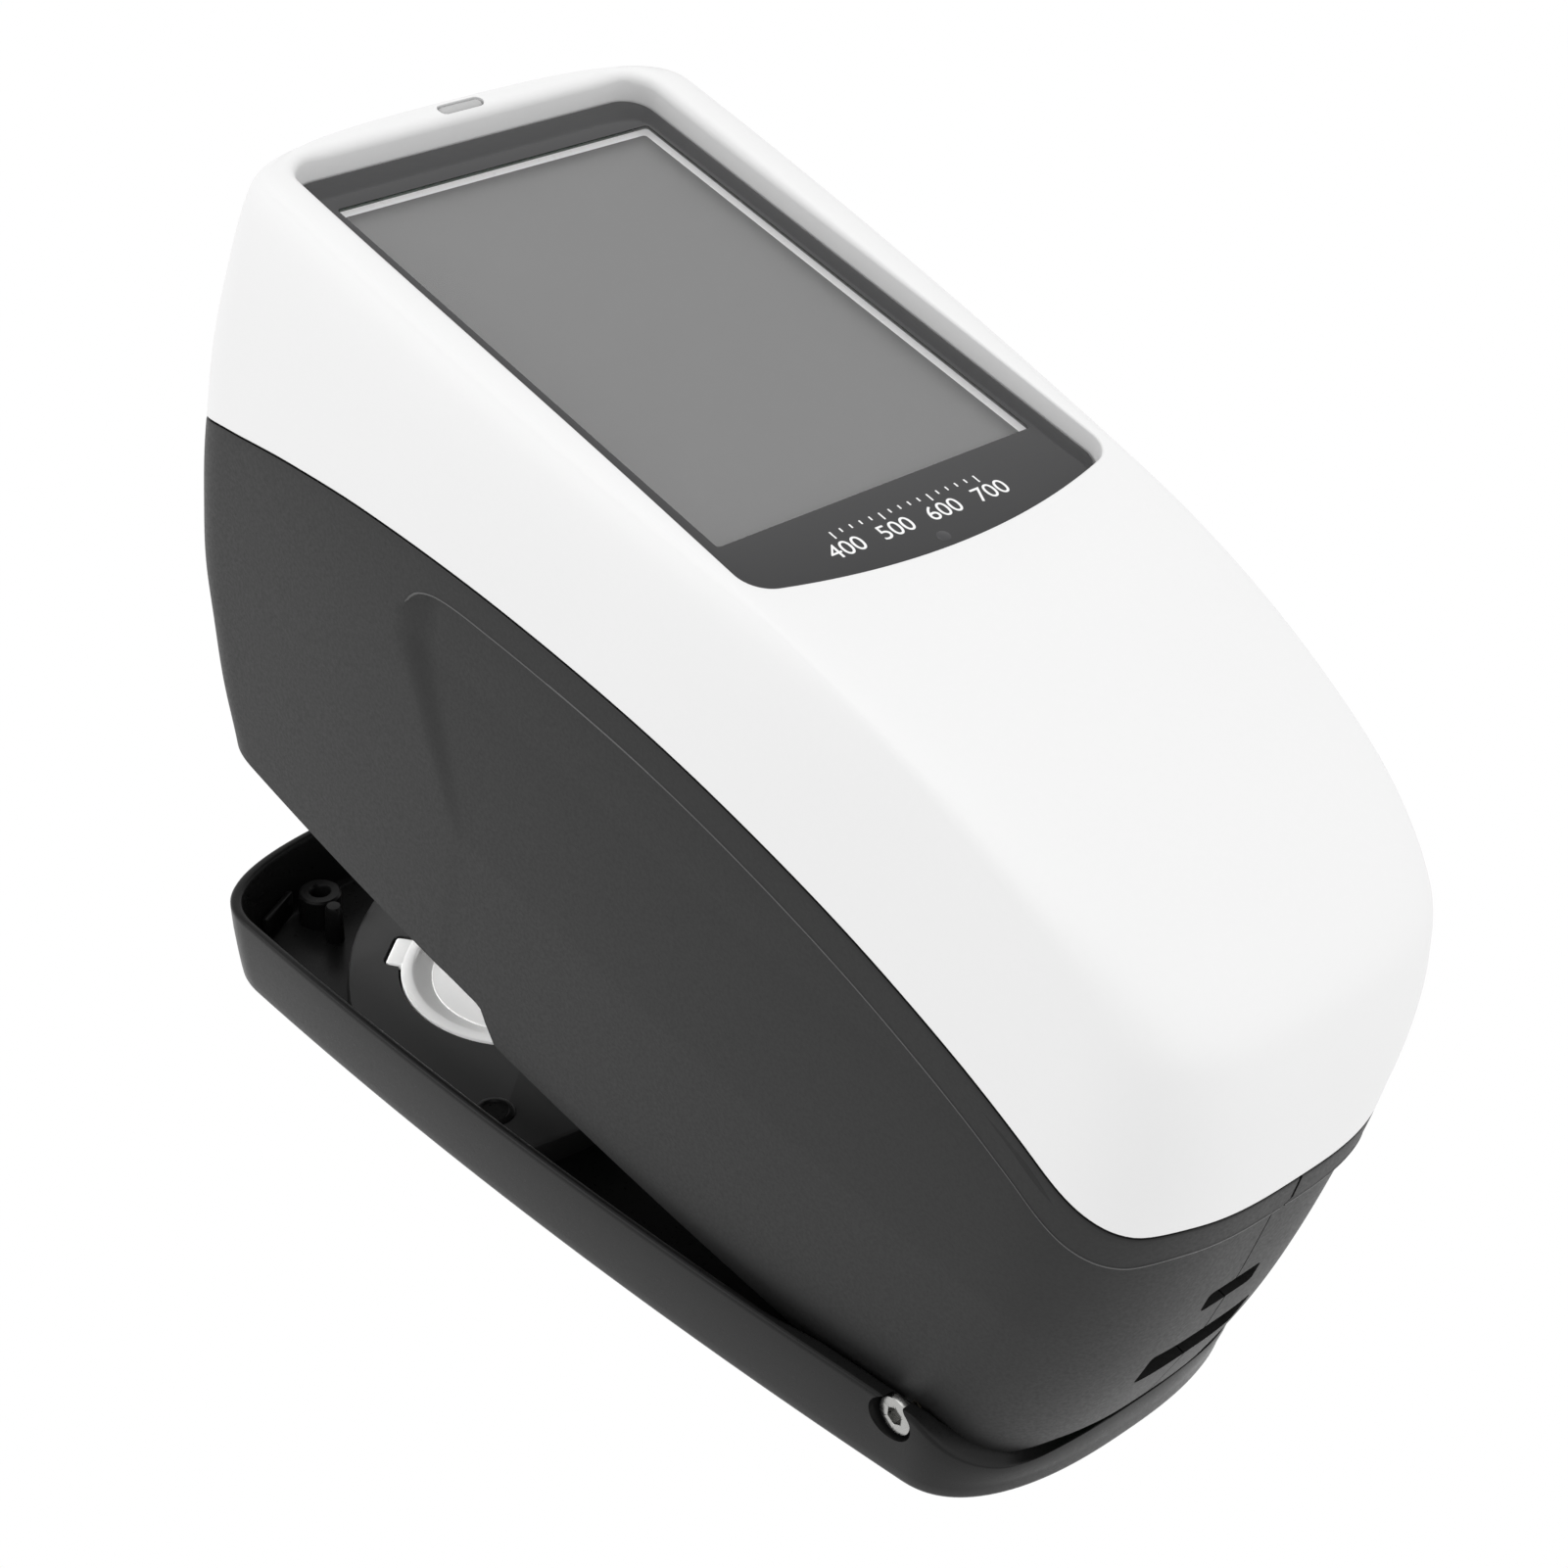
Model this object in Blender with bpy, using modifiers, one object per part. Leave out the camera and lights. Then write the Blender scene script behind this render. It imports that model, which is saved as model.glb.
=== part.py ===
"""Hinged bench spectrophotometer: a sprung measuring body on a base tray.

Frame: metres, +Z up, origin at the centre of the underside. The hinge and nose are towards -Y,
the measuring end is towards +Y, +X is to the right seen from the nose. The measuring body is
drawn closed and hangs on one empty on the hinge axis, which tilts it open as it stands at rest.
"""
import math

import bmesh
import bpy
from mathutils import Matrix

MM = 0.001
GAP = 0.3 * MM

# Base tray
BASE_LENGTH = 156.5 * MM
DRAWN_LENGTH = 156.5 * MM
BASE_WIDTH = 77 * MM
RIM_HEIGHT = 13.5 * MM
LIP_HEIGHT = 6.4 * MM
LIP_ROUND = 9 * MM
LIP_ROUND_DROP = 0.4 * MM
TRAY_WALL = 2.3 * MM
TRAY_UNDERSIDE = 0.4 * MM
TRAY_FLOOR = 2.5 * MM
WIDEST_Y = 64.75 * MM
SIDE_TAPER = 0.573
PAD_THICKNESS = 1.5 * MM
PAD_MARGIN = 5 * MM
PLATEAU_HEIGHT = 6 * MM
PLATEAU_STEP_GAP = 2 * MM
PLATEAU_BORDER = 15 * MM
BOSS_RADIUS = 3.2 * MM
BOSS_HOLE_RADIUS = 1.4 * MM
BOSS_HEIGHT = 7.5 * MM
BOSS_INSET = 15 * MM
NEAR_BOSS_SETBACK = 30 * MM

# Target ring and white tile under the measuring port
TARGET_Y = 36.5 * MM
RING_X = -8 * MM
RING_Y = 37.8 * MM
RING_RADIUS = 17.4 * MM
RING_TOP = 6.7 * MM
RING_SINK = 1.2 * MM
RING_BEVEL = 2.9 * MM
RING_INNER_EDGE = 0.4 * MM
TILE_RADIUS = 12.9 * MM
TILE_THICKNESS = 0.9 * MM
LUG_WIDTH = 6.5 * MM
LUG_OVERLAP = 3.5 * MM
LUG_ANGLE = math.radians(129)

# Hinge
PIVOT_SETBACK = 14.75 * MM
PIVOT_Y = -BASE_LENGTH / 2 + PIVOT_SETBACK
PIVOT_Z = 10.5 * MM
OPEN_ANGLE = math.radians(12)
PRESS_ANGLE = math.radians(11.2)
SCREW_RADIUS = 1.5 * MM
SCREW_HEAD_RADIUS = 2.75 * MM
SCREW_HEAD_THICKNESS = 1.0 * MM
COUNTERBORE_DEPTH = 1.6 * MM
BUSH_RADIUS = 2.8 * MM
BUSH_LENGTH = 8 * MM

# Measuring body, in its closed place
NEST_GAP = 1.0 * MM
BODY_FOOT = 7.5 * MM
FAR_FOOT = 12.4 * MM
STEP_Y = 13 * MM
TOP_AT_CHIN = 101.6 * MM
CHIN_Y = -13 * MM
TOP_SLOPE = -0.008
SHELL_WALL = 2.2 * MM
NOSE_WALL_FACTOR = 1.3

# Screen stack
SCREEN_TILT = math.radians(-1.47)
SCREEN_Y = 37.2 * MM
SCREEN_Z = 98.1 * MM
GLASS_HALF_WIDTH = 29.2 * MM
GLASS_FAR_Y = 82.4 * MM
GLASS_CHIN_Y = -13 * MM
GLASS_CHIN_SAG = 4.5 * MM
GLASS_CORNER = 4 * MM
GLASS_THICKNESS = 1.1 * MM
GLASS_LEDGE = 1.6 * MM
LEDGE_THICKNESS = 1.4 * MM
PANEL_THICKNESS = 3.2 * MM
PANEL_LENGTH = 83 * MM
PANEL_WIDTH = 53 * MM
PANEL_FAR_MARGIN = 1.7 * MM
BOARD_THICKNESS = 1.6 * MM
LIGHT_Y = 84.2 * MM
LIGHT_WIDTH = 5 * MM
LIGHT_DEPTH = 1.2 * MM

# Underside and optics
PLATE_THICKNESS = 2 * MM
PORT_RADIUS = 12 * MM
APERTURE_RADIUS = 4 * MM
APERTURE_DROP = 6.9 * MM
APERTURE_TAPER = 2 * MM
SPHERE_RADIUS = 22 * MM
SPHERE_WALL = 3 * MM
SPHERE_FLAT = 2 * MM
BARREL_RADIUS = 5 * MM
LAMP_BOARD_RADIUS = 12 * MM
OPTICS_WIDTH = 34 * MM
OPTICS_LENGTH = 38 * MM
OPTICS_HEIGHT = 34 * MM
OPTICS_WALL = 2 * MM
BATTERY_SIZE = (34 * MM, 50 * MM, 18 * MM)

# Return spring, measuring switch and sockets
SPRING_Y = -8 * MM
SPRING_RADIUS = 4 * MM
SPRING_WIRE = 0.9 * MM
SPRING_TURNS = 6
SPRING_POINTS = 10
CUP_RADIUS = 7 * MM
CUP_DEPTH = 8 * MM
CUP_WALL = 1.5 * MM
SWITCH_Y = -12 * MM
SWITCH_CLEARANCE = 2.6 * MM
SWITCH_SIZE = (6 * MM, 12.8 * MM, 6.5 * MM)
PLUNGER_RADIUS = 1.5 * MM
PLUNGER_TRAVEL = 1.5 * MM
PLUNGER_DROP = 2 * MM
SOCKET_Z = 40 * MM
SOCKET_WALL = 0.4 * MM
SOCKET_SLOT = (13 * MM, 3.2 * MM)
STRAP_Z = 27.5 * MM
SLOT_REACH = 30 * MM
STRAP_SLOT = (23 * MM, 3.8 * MM)
PORT_BOARD_SETBACK = 5.5 * MM
PORT_BOARD_Y = PIVOT_Y - PORT_BOARD_SETBACK
BOLT_RADIUS = 1.2 * MM
BOLT_HEAD_RADIUS = 2.4 * MM
BOLT_HEAD_THICKNESS = 1.2 * MM
BOLT_LENGTH = 8 * MM
BOLT_BOSS_RADIUS = 3.2 * MM
BOLT_INSET = 4.6 * MM
BOLT_STATIONS = (64 * MM, -40 * MM)

ROUND = 32
SMALL_ROUND = 16

# Side-view outlines of the closed body, as (y, z) in millimetres
NOSE_OUTLINE = ((-78.5, 7.5), (-79.8, 12.3), (-81.8, 22), (-83, 30.3), (-83.8, 40), (-84.2, 50),
                (-84.3, 58.7), (-84, 65.6), (-83, 73), (-81, 80), (-77.5, 86.2), (-68, 92.4), (-55, 96.6),
                (-40, 99.6), (-25, 101.25), (-14, 101.608))
FAR_OUTLINE = ((79, 7.5), (80, 12.4), (84.2, 21.3), (87.2, 30.3), (89.8, 39), (90.8, 48.6), (91.2, 57.8),
               (90.7, 68), (89.6, 78), (87.9, 88.4), (86.7, 97), (86.2, 99.6), (85.3, 100.81))
SEAM = ((96, 53), (88, 59), (81.4, 63.6), (73.1, 67.8), (62.4, 72.2), (42, 76.4), (23.4, 78.9),
        (5.6, 79.2),
        (-11.3, 78.1), (-27.5, 75.8), (-43.6, 71.6), (-59.9, 64.4), (-68, 60.8), (-74, 59.2), (-80, 58.8),
        (-92, 58.6))
# Plan ends as (depth in millimetres, squareness): the tray's, then the body's low down and at the top
BASE_FRONT_END = (12, 2.5)
BASE_FAR_END = (15, 2.7)
NOSE_END_LOW = (19, 3)
NOSE_END_TOP = (12, 4)
FAR_END_LOW = (14, 3)
FAR_END_TOP = (9, 3)
UPPER_START = 0.6
# Height share of each section, with its half-width over the foot's in millimetres
SECTIONS = ((0, 0), (0.04, 0.4), (0.15, 0.8), (0.3, 1.25), (0.45, 1.7), (0.58, 2), (0.7, 2), (0.8, 1.6),
            (0.87, 1.1), (0.915, 0.6), (0.945, 0.1), (0.968, -0.4), (0.985, -1), (0.995, -1.7), (1, -2.6))
LEVELS = (0, 0.04, 0.1, 0.2, 0.32, 0.42, 0.5, 0.57, 0.64, 0.7, 0.75, 0.8, 0.84, 0.875, 0.905, 0.93,
          0.95, 0.967, 0.98, 0.99, 0.996, 1)

foot_half_width = BASE_WIDTH / 2 - TRAY_WALL - NEST_GAP


def clear_scene():
    for item in list(bpy.data.objects):
        bpy.data.objects.remove(item)


def make_collection(name):
    collection = bpy.data.collections.new(name)
    bpy.context.scene.collection.children.link(collection)
    return collection


clear_scene()
PARTS = make_collection("spectrophotometer")
CUTTERS = make_collection("cutters")
HINGE = bpy.data.objects.new("body_hinge", None)
HINGE.location = (0, PIVOT_Y, PIVOT_Z)
HINGE.rotation_euler = (OPEN_ANGLE, 0, 0)
PARTS.objects.link(HINGE)


def make_material(name, colour, roughness, metallic=0.0):
    material = bpy.data.materials.new(name)
    material.use_nodes = True
    shader = material.node_tree.nodes["Principled BSDF"]
    shader.inputs["Base Color"].default_value = (*colour, 1)
    shader.inputs["Roughness"].default_value = roughness
    shader.inputs["Metallic"].default_value = metallic
    return material


WHITE_ABS = make_material("white_abs", (0.86, 0.86, 0.86), 0.35)
BLACK_ABS = make_material("black_abs", (0.045, 0.045, 0.045), 0.55)
RUBBER = make_material("rubber", (0.03, 0.03, 0.03), 0.85)
STEEL = make_material("steel", (0.62, 0.62, 0.6), 0.3, 1.0)
BRASS = make_material("brass", (0.75, 0.55, 0.25), 0.35, 1.0)
GLASS = make_material("screen_glass", (0.08, 0.08, 0.08), 0.08)
PANEL_GREY = make_material("panel_grey", (0.26, 0.26, 0.26), 0.4)
BOARD_GREEN = make_material("board_green", (0.05, 0.22, 0.1), 0.5)
CELL_BLUE = make_material("cell_blue", (0.08, 0.16, 0.35), 0.45)
TILE_WHITE = make_material("tile_white", (0.9, 0.9, 0.88), 0.25)
ALUMINIUM = make_material("aluminium", (0.7, 0.7, 0.72), 0.4, 1.0)
LIGHT_GREY = make_material("light_grey", (0.5, 0.5, 0.5), 0.3)


def add(name, bm, place=(0, 0, 0), on_body=False, tilt=0.0):
    """Put a bmesh in the scene as a part or, before finish() names its material, as a cutter."""
    mesh = bpy.data.meshes.new(name)
    bm.to_mesh(mesh)
    bm.free()
    item = bpy.data.objects.new(name, mesh)
    item.location = place
    item.rotation_euler = (tilt, 0, 0)
    if on_body:
        item.parent = HINGE
        item.matrix_parent_inverse = Matrix.Translation((0, -PIVOT_Y, -PIVOT_Z))
    return item


def finish(item, material):
    PARTS.objects.link(item)
    item.data.materials.append(material)
    item.data.shade_smooth()
    item.data.set_sharp_from_angle(angle=math.radians(35))
    return item


def combine(item, other, operation="DIFFERENCE"):
    if other.name not in CUTTERS.objects:
        CUTTERS.objects.link(other)
    other.hide_render = True
    other.display_type = "WIRE"
    modifier = item.modifiers.new(other.name, "BOOLEAN")
    modifier.object = other
    modifier.operation = operation
    modifier.solver = "EXACT"


def box(name, size, place, on_body=False, tilt=0.0):
    bm = bmesh.new()
    bmesh.ops.create_cube(bm, size=1)
    bmesh.ops.scale(bm, vec=size, verts=bm.verts)
    return add(name, bm, place, on_body, tilt)


def cylinder(name, radius, length, place, axis="Z", on_body=False, sides=ROUND):
    bm = bmesh.new()
    bmesh.ops.create_cone(bm, cap_ends=True, segments=sides, radius1=radius, radius2=radius, depth=length)
    turn = {"X": Matrix.Rotation(math.pi / 2, 3, "Y"), "Y": Matrix.Rotation(math.pi / 2, 3, "X"),
            "Z": Matrix.Identity(3)}[axis]
    bmesh.ops.rotate(bm, matrix=turn, verts=bm.verts)
    return add(name, bm, place, on_body)


def prism(name, outline, low_x, high_x, on_body=False):
    """Extrude a side-view (y, z) outline across X."""
    bm = bmesh.new()
    face = bm.faces.new([bm.verts.new((low_x, y, z)) for y, z in outline])
    extruded = bmesh.ops.extrude_face_region(bm, geom=[face])["geom"]
    moved = [item for item in extruded if isinstance(item, bmesh.types.BMVert)]
    bmesh.ops.translate(bm, vec=(high_x - low_x, 0, 0), verts=moved)
    bmesh.ops.recalc_face_normals(bm, faces=bm.faces)
    return add(name, bm, on_body=on_body)


def plate(name, outline, low_z, high_z, place=(0, 0, 0), on_body=False, tilt=0.0):
    """Extrude a plan (x, y) outline upwards."""
    bm = bmesh.new()
    face = bm.faces.new([bm.verts.new((x, y, low_z)) for x, y in outline])
    extruded = bmesh.ops.extrude_face_region(bm, geom=[face])["geom"]
    moved = [item for item in extruded if isinstance(item, bmesh.types.BMVert)]
    bmesh.ops.translate(bm, vec=(0, 0, high_z - low_z), verts=moved)
    bmesh.ops.recalc_face_normals(bm, faces=bm.faces)
    return add(name, bm, place, on_body, tilt)


def loft(name, loops, on_body=False):
    """Skin a stack of plan loops that hold the same number of points."""
    bm = bmesh.new()
    rings = [[bm.verts.new(point) for point in loop] for loop in loops]
    for low, high in zip(rings, rings[1:]):
        for index, corner in enumerate(low):
            after = (index + 1) % len(low)
            bm.faces.new((corner, low[after], high[after], high[index]))
    bm.faces.new(reversed(rings[0]))
    bm.faces.new(rings[-1])
    bmesh.ops.recalc_face_normals(bm, faces=bm.faces)
    return add(name, bm, on_body=on_body)


def smooth(keys, at):
    """Read a smooth curve through (place, value) keys that rise in place."""
    if at <= keys[0][0]:
        return keys[0][1]
    for index in range(len(keys) - 1):
        (left, low), (right, high) = keys[index], keys[index + 1]
        if at <= right:
            break
    else:
        return keys[-1][1]
    span = right - left

    def slope(middle):
        before = keys[max(middle - 1, 0)]
        after = keys[min(middle + 1, len(keys) - 1)]
        return (after[1] - before[1]) / (after[0] - before[0])

    t = (at - left) / span
    start = slope(index) * span
    end = slope(index + 1) * span
    bend = 3 * (high - low) - 2 * start - end
    twist = start + end - 2 * (high - low)
    return low + start * t + bend * t ** 2 + twist * t ** 3


def narrowing(y):
    """How much narrower than at its widest place each side is at y."""
    return SIDE_TAPER * (y - WIDEST_Y) ** 2


def inside_half_width(y):
    """Clear half-width between the side shells at the foot."""
    return foot_half_width - narrowing(y) - SHELL_WALL


def bolt_places():
    return [(inside_half_width(y) - BOLT_INSET, y) for y in BOLT_STATIONS]


def switch_x():
    return inside_half_width(SWITCH_Y) - SWITCH_CLEARANCE - SWITCH_SIZE[0] / 2


def plan_outline(half_width, nose_y, far_y, nose_end, far_end):
    """Closed plan loop with bowed sides; each end is (depth in mm, squareness)."""
    nose_depth, nose_square = nose_end[0] * MM, 2 / nose_end[1]
    far_depth, far_square = far_end[0] * MM, 2 / far_end[1]
    half = []
    for step in range(9):
        turn = math.pi / 2 * step / 8
        half.append((half_width * math.sin(turn) ** nose_square,
                     nose_y + nose_depth * (1 - math.cos(turn) ** nose_square)))
    side_start = nose_y + nose_depth
    side_end = far_y - far_depth
    for step in range(1, 5):
        half.append((half_width, side_start + (side_end - side_start) * step / 5))
    for step in range(8):
        turn = math.pi / 2 * (7 - step) / 7
        half.append((half_width * math.sin(turn) ** far_square,
                     far_y - far_depth * (1 - math.cos(turn) ** far_square)))
    bowed = [(x * (1 - narrowing(y) / half_width), y) for x, y in half]
    bowed[0] = (0, nose_y)
    bowed[-1] = (0, far_y)
    return bowed + [(-x, y) for x, y in reversed(bowed[1:-1])]


def at_height(outline, z):
    return [(x, y, z) for x, y in outline]


def mm_keys(points):
    """Side-view points in metres, stretched with the tray they were drawn for."""
    stretch = BASE_LENGTH / DRAWN_LENGTH
    return [(y * MM * stretch, z * MM) for y, z in points]


def cover_top(y):
    return TOP_AT_CHIN + TOP_SLOPE * (y - CHIN_Y)


def screen_plane(y):
    return SCREEN_Z + math.tan(SCREEN_TILT) * (y - SCREEN_Y)


def core_top(y):
    return screen_plane(y) - GAP - LEDGE_THICKNESS


def share_keys(points):
    """Turn (y, z) side-view points into y against the share of the body's height there."""
    return [((z - BODY_FOOT) / (cover_top(y) - BODY_FOOT), y) for y, z in mm_keys(points)]


def blend(low, high, share):
    return [a + (b - a) * share for a, b in zip(low, high)]


def body_loop(share, inset=0.0, top=cover_top):
    """One section of the measuring body at a share of its height."""
    nose_y = smooth(share_keys(NOSE_OUTLINE), share) + inset * NOSE_WALL_FACTOR
    far_y = smooth(share_keys(FAR_OUTLINE), share) - inset
    half_width = foot_half_width + smooth(SECTIONS, share) * MM - inset
    upper = max(0, (share - UPPER_START) / (1 - UPPER_START))
    outline = plan_outline(half_width, nose_y, far_y, blend(NOSE_END_LOW, NOSE_END_TOP, upper),
                           blend(FAR_END_LOW, FAR_END_TOP, upper))
    return [(x, y, BODY_FOOT + share * (top(y) - BODY_FOOT)) for x, y in outline]


def body_skin(name):
    return loft(name, [body_loop(share) for share in LEVELS], on_body=True)


def body_core(name):
    """The hollow inside the shells, carried on down through the open underside."""
    foot = body_loop(0, SHELL_WALL, core_top)
    below = [(x, y, z - RIM_HEIGHT) for x, y, z in foot]
    return loft(name, [below] + [body_loop(share, SHELL_WALL, core_top) for share in LEVELS],
                on_body=True)


def glass_outline(margin):
    """Screen glass in plan: rounded corners, straight sides and a chin that sags in an arc."""
    half = GLASS_HALF_WIDTH + margin
    corner = GLASS_CORNER + margin
    inner = half - corner
    chin = GLASS_CHIN_Y - margin
    chin_end = chin + GLASS_CHIN_SAG * (inner / half) ** 2
    right = [(inner * step / 6,
              chin + GLASS_CHIN_SAG * (inner * step / 6 / half) ** 2) for step in range(6)]
    for step in range(7):
        turn = math.pi / 2 * (step / 6 - 1)
        right.append((inner + corner * math.cos(turn), chin_end + corner * (1 + math.sin(turn))))
    for step in range(7):
        turn = math.pi / 2 * step / 6
        right.append((inner + corner * math.cos(turn),
                      GLASS_FAR_Y + margin - corner * (1 - math.sin(turn))))
    return right + [(-x, y) for x, y in reversed(right[1:])]


def on_screen(outline):
    """Shift a plan outline so that it turns about the screen's own centre."""
    return [(x, y - SCREEN_Y) for x, y in outline]


SCREEN_PLACE = (0, SCREEN_Y, SCREEN_Z)


def screen_plate(name, outline, low, high):
    """A plate that lies in the tilted screen plane, between two heights over that plane."""
    return plate(name, on_screen(outline), low, high, SCREEN_PLACE, on_body=True, tilt=SCREEN_TILT)


def rectangle(half_width, low_y, high_y):
    return [(-half_width, low_y), (half_width, low_y), (half_width, high_y), (-half_width, high_y)]


def base_loop(z, inset):
    half_length = BASE_LENGTH / 2 - inset
    return at_height(plan_outline(BASE_WIDTH / 2 - inset, -half_length, half_length,
                                  BASE_FRONT_END, BASE_FAR_END), z)


def base_half_width(y):
    return BASE_WIDTH / 2 - narrowing(y)


def lip_line(lift=0.0):
    """Side view of the rim where it falls to the front lip."""
    start = PIVOT_Y + 2 * SCREW_HEAD_RADIUS
    end = -BASE_LENGTH / 2 + TRAY_WALL
    return [(start, RIM_HEIGHT + lift), (start - LIP_ROUND, RIM_HEIGHT - LIP_ROUND_DROP + lift),
            (end, LIP_HEIGHT + lift)]


def make_base_tray():
    edge = TRAY_WALL
    tray = loft("base_tray", [base_loop(TRAY_UNDERSIDE, edge / 2), base_loop(TRAY_UNDERSIDE + edge / 3,
                                                                             edge / 3),
                              base_loop(TRAY_UNDERSIDE + edge, edge / 4), base_loop(RIM_HEIGHT, 0)])
    well = loft("tray_well", [base_loop(TRAY_FLOOR, TRAY_WALL), base_loop(RIM_HEIGHT * 2, TRAY_WALL)])
    combine(tray, well)
    far_out = -BASE_LENGTH
    lip = prism("tray_lip", lip_line() + [(far_out, LIP_HEIGHT), (far_out, RIM_HEIGHT * 2),
                                          (lip_line()[0][0], RIM_HEIGHT * 2)], -BASE_WIDTH, BASE_WIDTH)
    combine(tray, lip)
    plateau_low = STEP_Y + PLATEAU_STEP_GAP
    plateau_far = RING_Y + RING_RADIUS + PLATEAU_BORDER
    plateau = loft("tray_plateau", [at_height(plan_outline(BASE_WIDTH / 2 - TRAY_WALL / 2, plateau_low,
                                                           plateau_far, (6, 3), (30, 2.4)), z)
                                    for z in ((PAD_THICKNESS + TRAY_FLOOR) / 2 + GAP, PLATEAU_HEIGHT)])
    combine(tray, plateau, "UNION")
    for name, x, y in boss_places():
        combine(tray, cylinder("boss_" + name, BOSS_RADIUS, BOSS_HEIGHT - TRAY_FLOOR + GAP,
                               (x, y, (BOSS_HEIGHT + TRAY_FLOOR - GAP) / 2), sides=SMALL_ROUND), "UNION")
        combine(tray, cylinder("boss_hole_" + name, BOSS_HOLE_RADIUS, BOSS_HEIGHT,
                               (x, y, TRAY_FLOOR + GAP + BOSS_HEIGHT / 2), sides=SMALL_ROUND))
    striker_top = BODY_FOOT - PLUNGER_DROP + PLUNGER_TRAVEL - GAP + press_lift(SWITCH_Y)
    combine(tray, cylinder("striker", 2 * PLUNGER_RADIUS, striker_top - TRAY_UNDERSIDE - GAP,
                           (switch_x(), SWITCH_Y, (striker_top + TRAY_UNDERSIDE + GAP) / 2),
                           sides=SMALL_ROUND),
            "UNION")
    seat_depth = RIM_HEIGHT
    combine(tray, cylinder("ring_seat", RING_RADIUS + GAP, seat_depth, (RING_X, RING_Y,
                                                                        ring_seat() + seat_depth / 2)))
    lug = lug_block("lug_seat", ring_seat() + seat_depth / 2, seat_depth, GAP)
    combine(tray, lug)
    pocket = loft("pad_pocket", [base_loop(z, PAD_MARGIN - GAP) for z in (-PAD_THICKNESS,
                                                                          PAD_THICKNESS + GAP)])
    combine(tray, pocket)
    for side in (-1, 1):
        outer = base_half_width(PIVOT_Y)
        hole = cylinder("pivot_hole", SCREW_RADIUS + GAP, BASE_WIDTH / 3, (side * outer, PIVOT_Y,
                                                                           PIVOT_Z), "X")
        combine(tray, hole)
        sink = cylinder("pivot_sink", SCREW_HEAD_RADIUS + 1.5 * GAP, BASE_WIDTH / 3,
                        (side * (outer - COUNTERBORE_DEPTH + BASE_WIDTH / 6), PIVOT_Y, PIVOT_Z), "X")
        combine(tray, sink)
    finish(tray, BLACK_ABS)


def press_lift(y):
    """Height left under the body at y when it is pressed to its stop."""
    return (y - PIVOT_Y) * math.sin(OPEN_ANGLE - PRESS_ANGLE)


def nose_relief(name, on_body):
    """Room for the nose inside and over the tray's lip, with the body open or, on the body, closed."""
    far_out = -BASE_LENGTH
    rim = lip_line(2 * GAP)
    relief = prism(name, rim + [(far_out, rim[-1][1]), (far_out, -RIM_HEIGHT), (rim[0][0], -RIM_HEIGHT)],
                   -BASE_WIDTH, BASE_WIDTH, on_body)
    keep = loft(name + "_keep", [base_loop(z, TRAY_WALL + 2 * GAP) for z in (-2 * RIM_HEIGHT,
                                                                             2 * RIM_HEIGHT)],
                on_body)
    combine(relief, keep)
    return relief


def boss_places():
    far = BASE_LENGTH / 2 - TRAY_WALL - 1.8 * BOSS_RADIUS
    near = PIVOT_Y + NEAR_BOSS_SETBACK
    far_x = base_half_width(far) - TRAY_WALL - BOSS_INSET
    near_x = base_half_width(near) - TRAY_WALL - BOSS_INSET
    return (("far_left", -far_x, far), ("far_right", far_x, far),
            ("near_left", -near_x, near), ("near_right", near_x, near))


def ring_seat():
    return PLATEAU_HEIGHT - RING_SINK


def lug_block(name, middle_z, height, margin):
    bm = bmesh.new()
    bmesh.ops.create_cube(bm, size=1)
    bmesh.ops.scale(bm, vec=(2 * LUG_WIDTH + 2 * margin, LUG_WIDTH + 2 * margin, height), verts=bm.verts)
    bmesh.ops.translate(bm, vec=(RING_RADIUS - LUG_OVERLAP, 0, 0), verts=bm.verts)
    bmesh.ops.rotate(bm, matrix=Matrix.Rotation(LUG_ANGLE, 3, "Z"), verts=bm.verts)
    return add(name, bm, (RING_X, RING_Y, middle_z))


def make_pad():
    pad = loft("anti_slip_pad", [base_loop(z, PAD_MARGIN) for z in (0, PAD_THICKNESS)])
    finish(pad, RUBBER)


def turned(name, profile, place, sides=ROUND, on_body=False):
    """Turn a closed (radius, height) profile about Z."""
    bm = bmesh.new()
    points = [bm.verts.new((radius, 0, height)) for radius, height in profile]
    for index, point in enumerate(points):
        bm.edges.new((point, points[(index + 1) % len(points)]))
    item = add(name, bm, place, on_body)
    screw = item.modifiers.new("turn", "SCREW")
    screw.steps = sides
    screw.render_steps = sides
    screw.use_merge_vertices = True
    screw.merge_threshold = 0.00001
    return item


def make_target():
    low = ring_seat() + GAP
    hole = TILE_RADIUS + GAP
    ring = turned("target_ring", [(hole + RING_BEVEL, RING_TOP), (RING_RADIUS, RING_TOP),
                                  (RING_RADIUS, low), (hole, low), (hole, low + RING_INNER_EDGE)],
                  (RING_X, RING_Y, 0), sides=48)
    lug_thickness = RING_TOP - low - 2 * GAP
    lug = lug_block("ring_lug", low + GAP + lug_thickness / 2, lug_thickness, 0)
    combine(lug, cylinder("lug_trim", RING_RADIUS - GAP, BASE_WIDTH, (RING_X, RING_Y, 0), sides=48))
    combine(ring, lug, "UNION")
    finish(ring, TILE_WHITE)
    tile = cylinder("white_reference_tile", TILE_RADIUS, TILE_THICKNESS,
                    (RING_X, RING_Y, low + TILE_THICKNESS / 2), sides=48)
    finish(tile, TILE_WHITE)


def bush_inner_end():
    return base_half_width(PIVOT_Y - BUSH_RADIUS) - TRAY_WALL - GAP - BUSH_LENGTH


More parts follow.
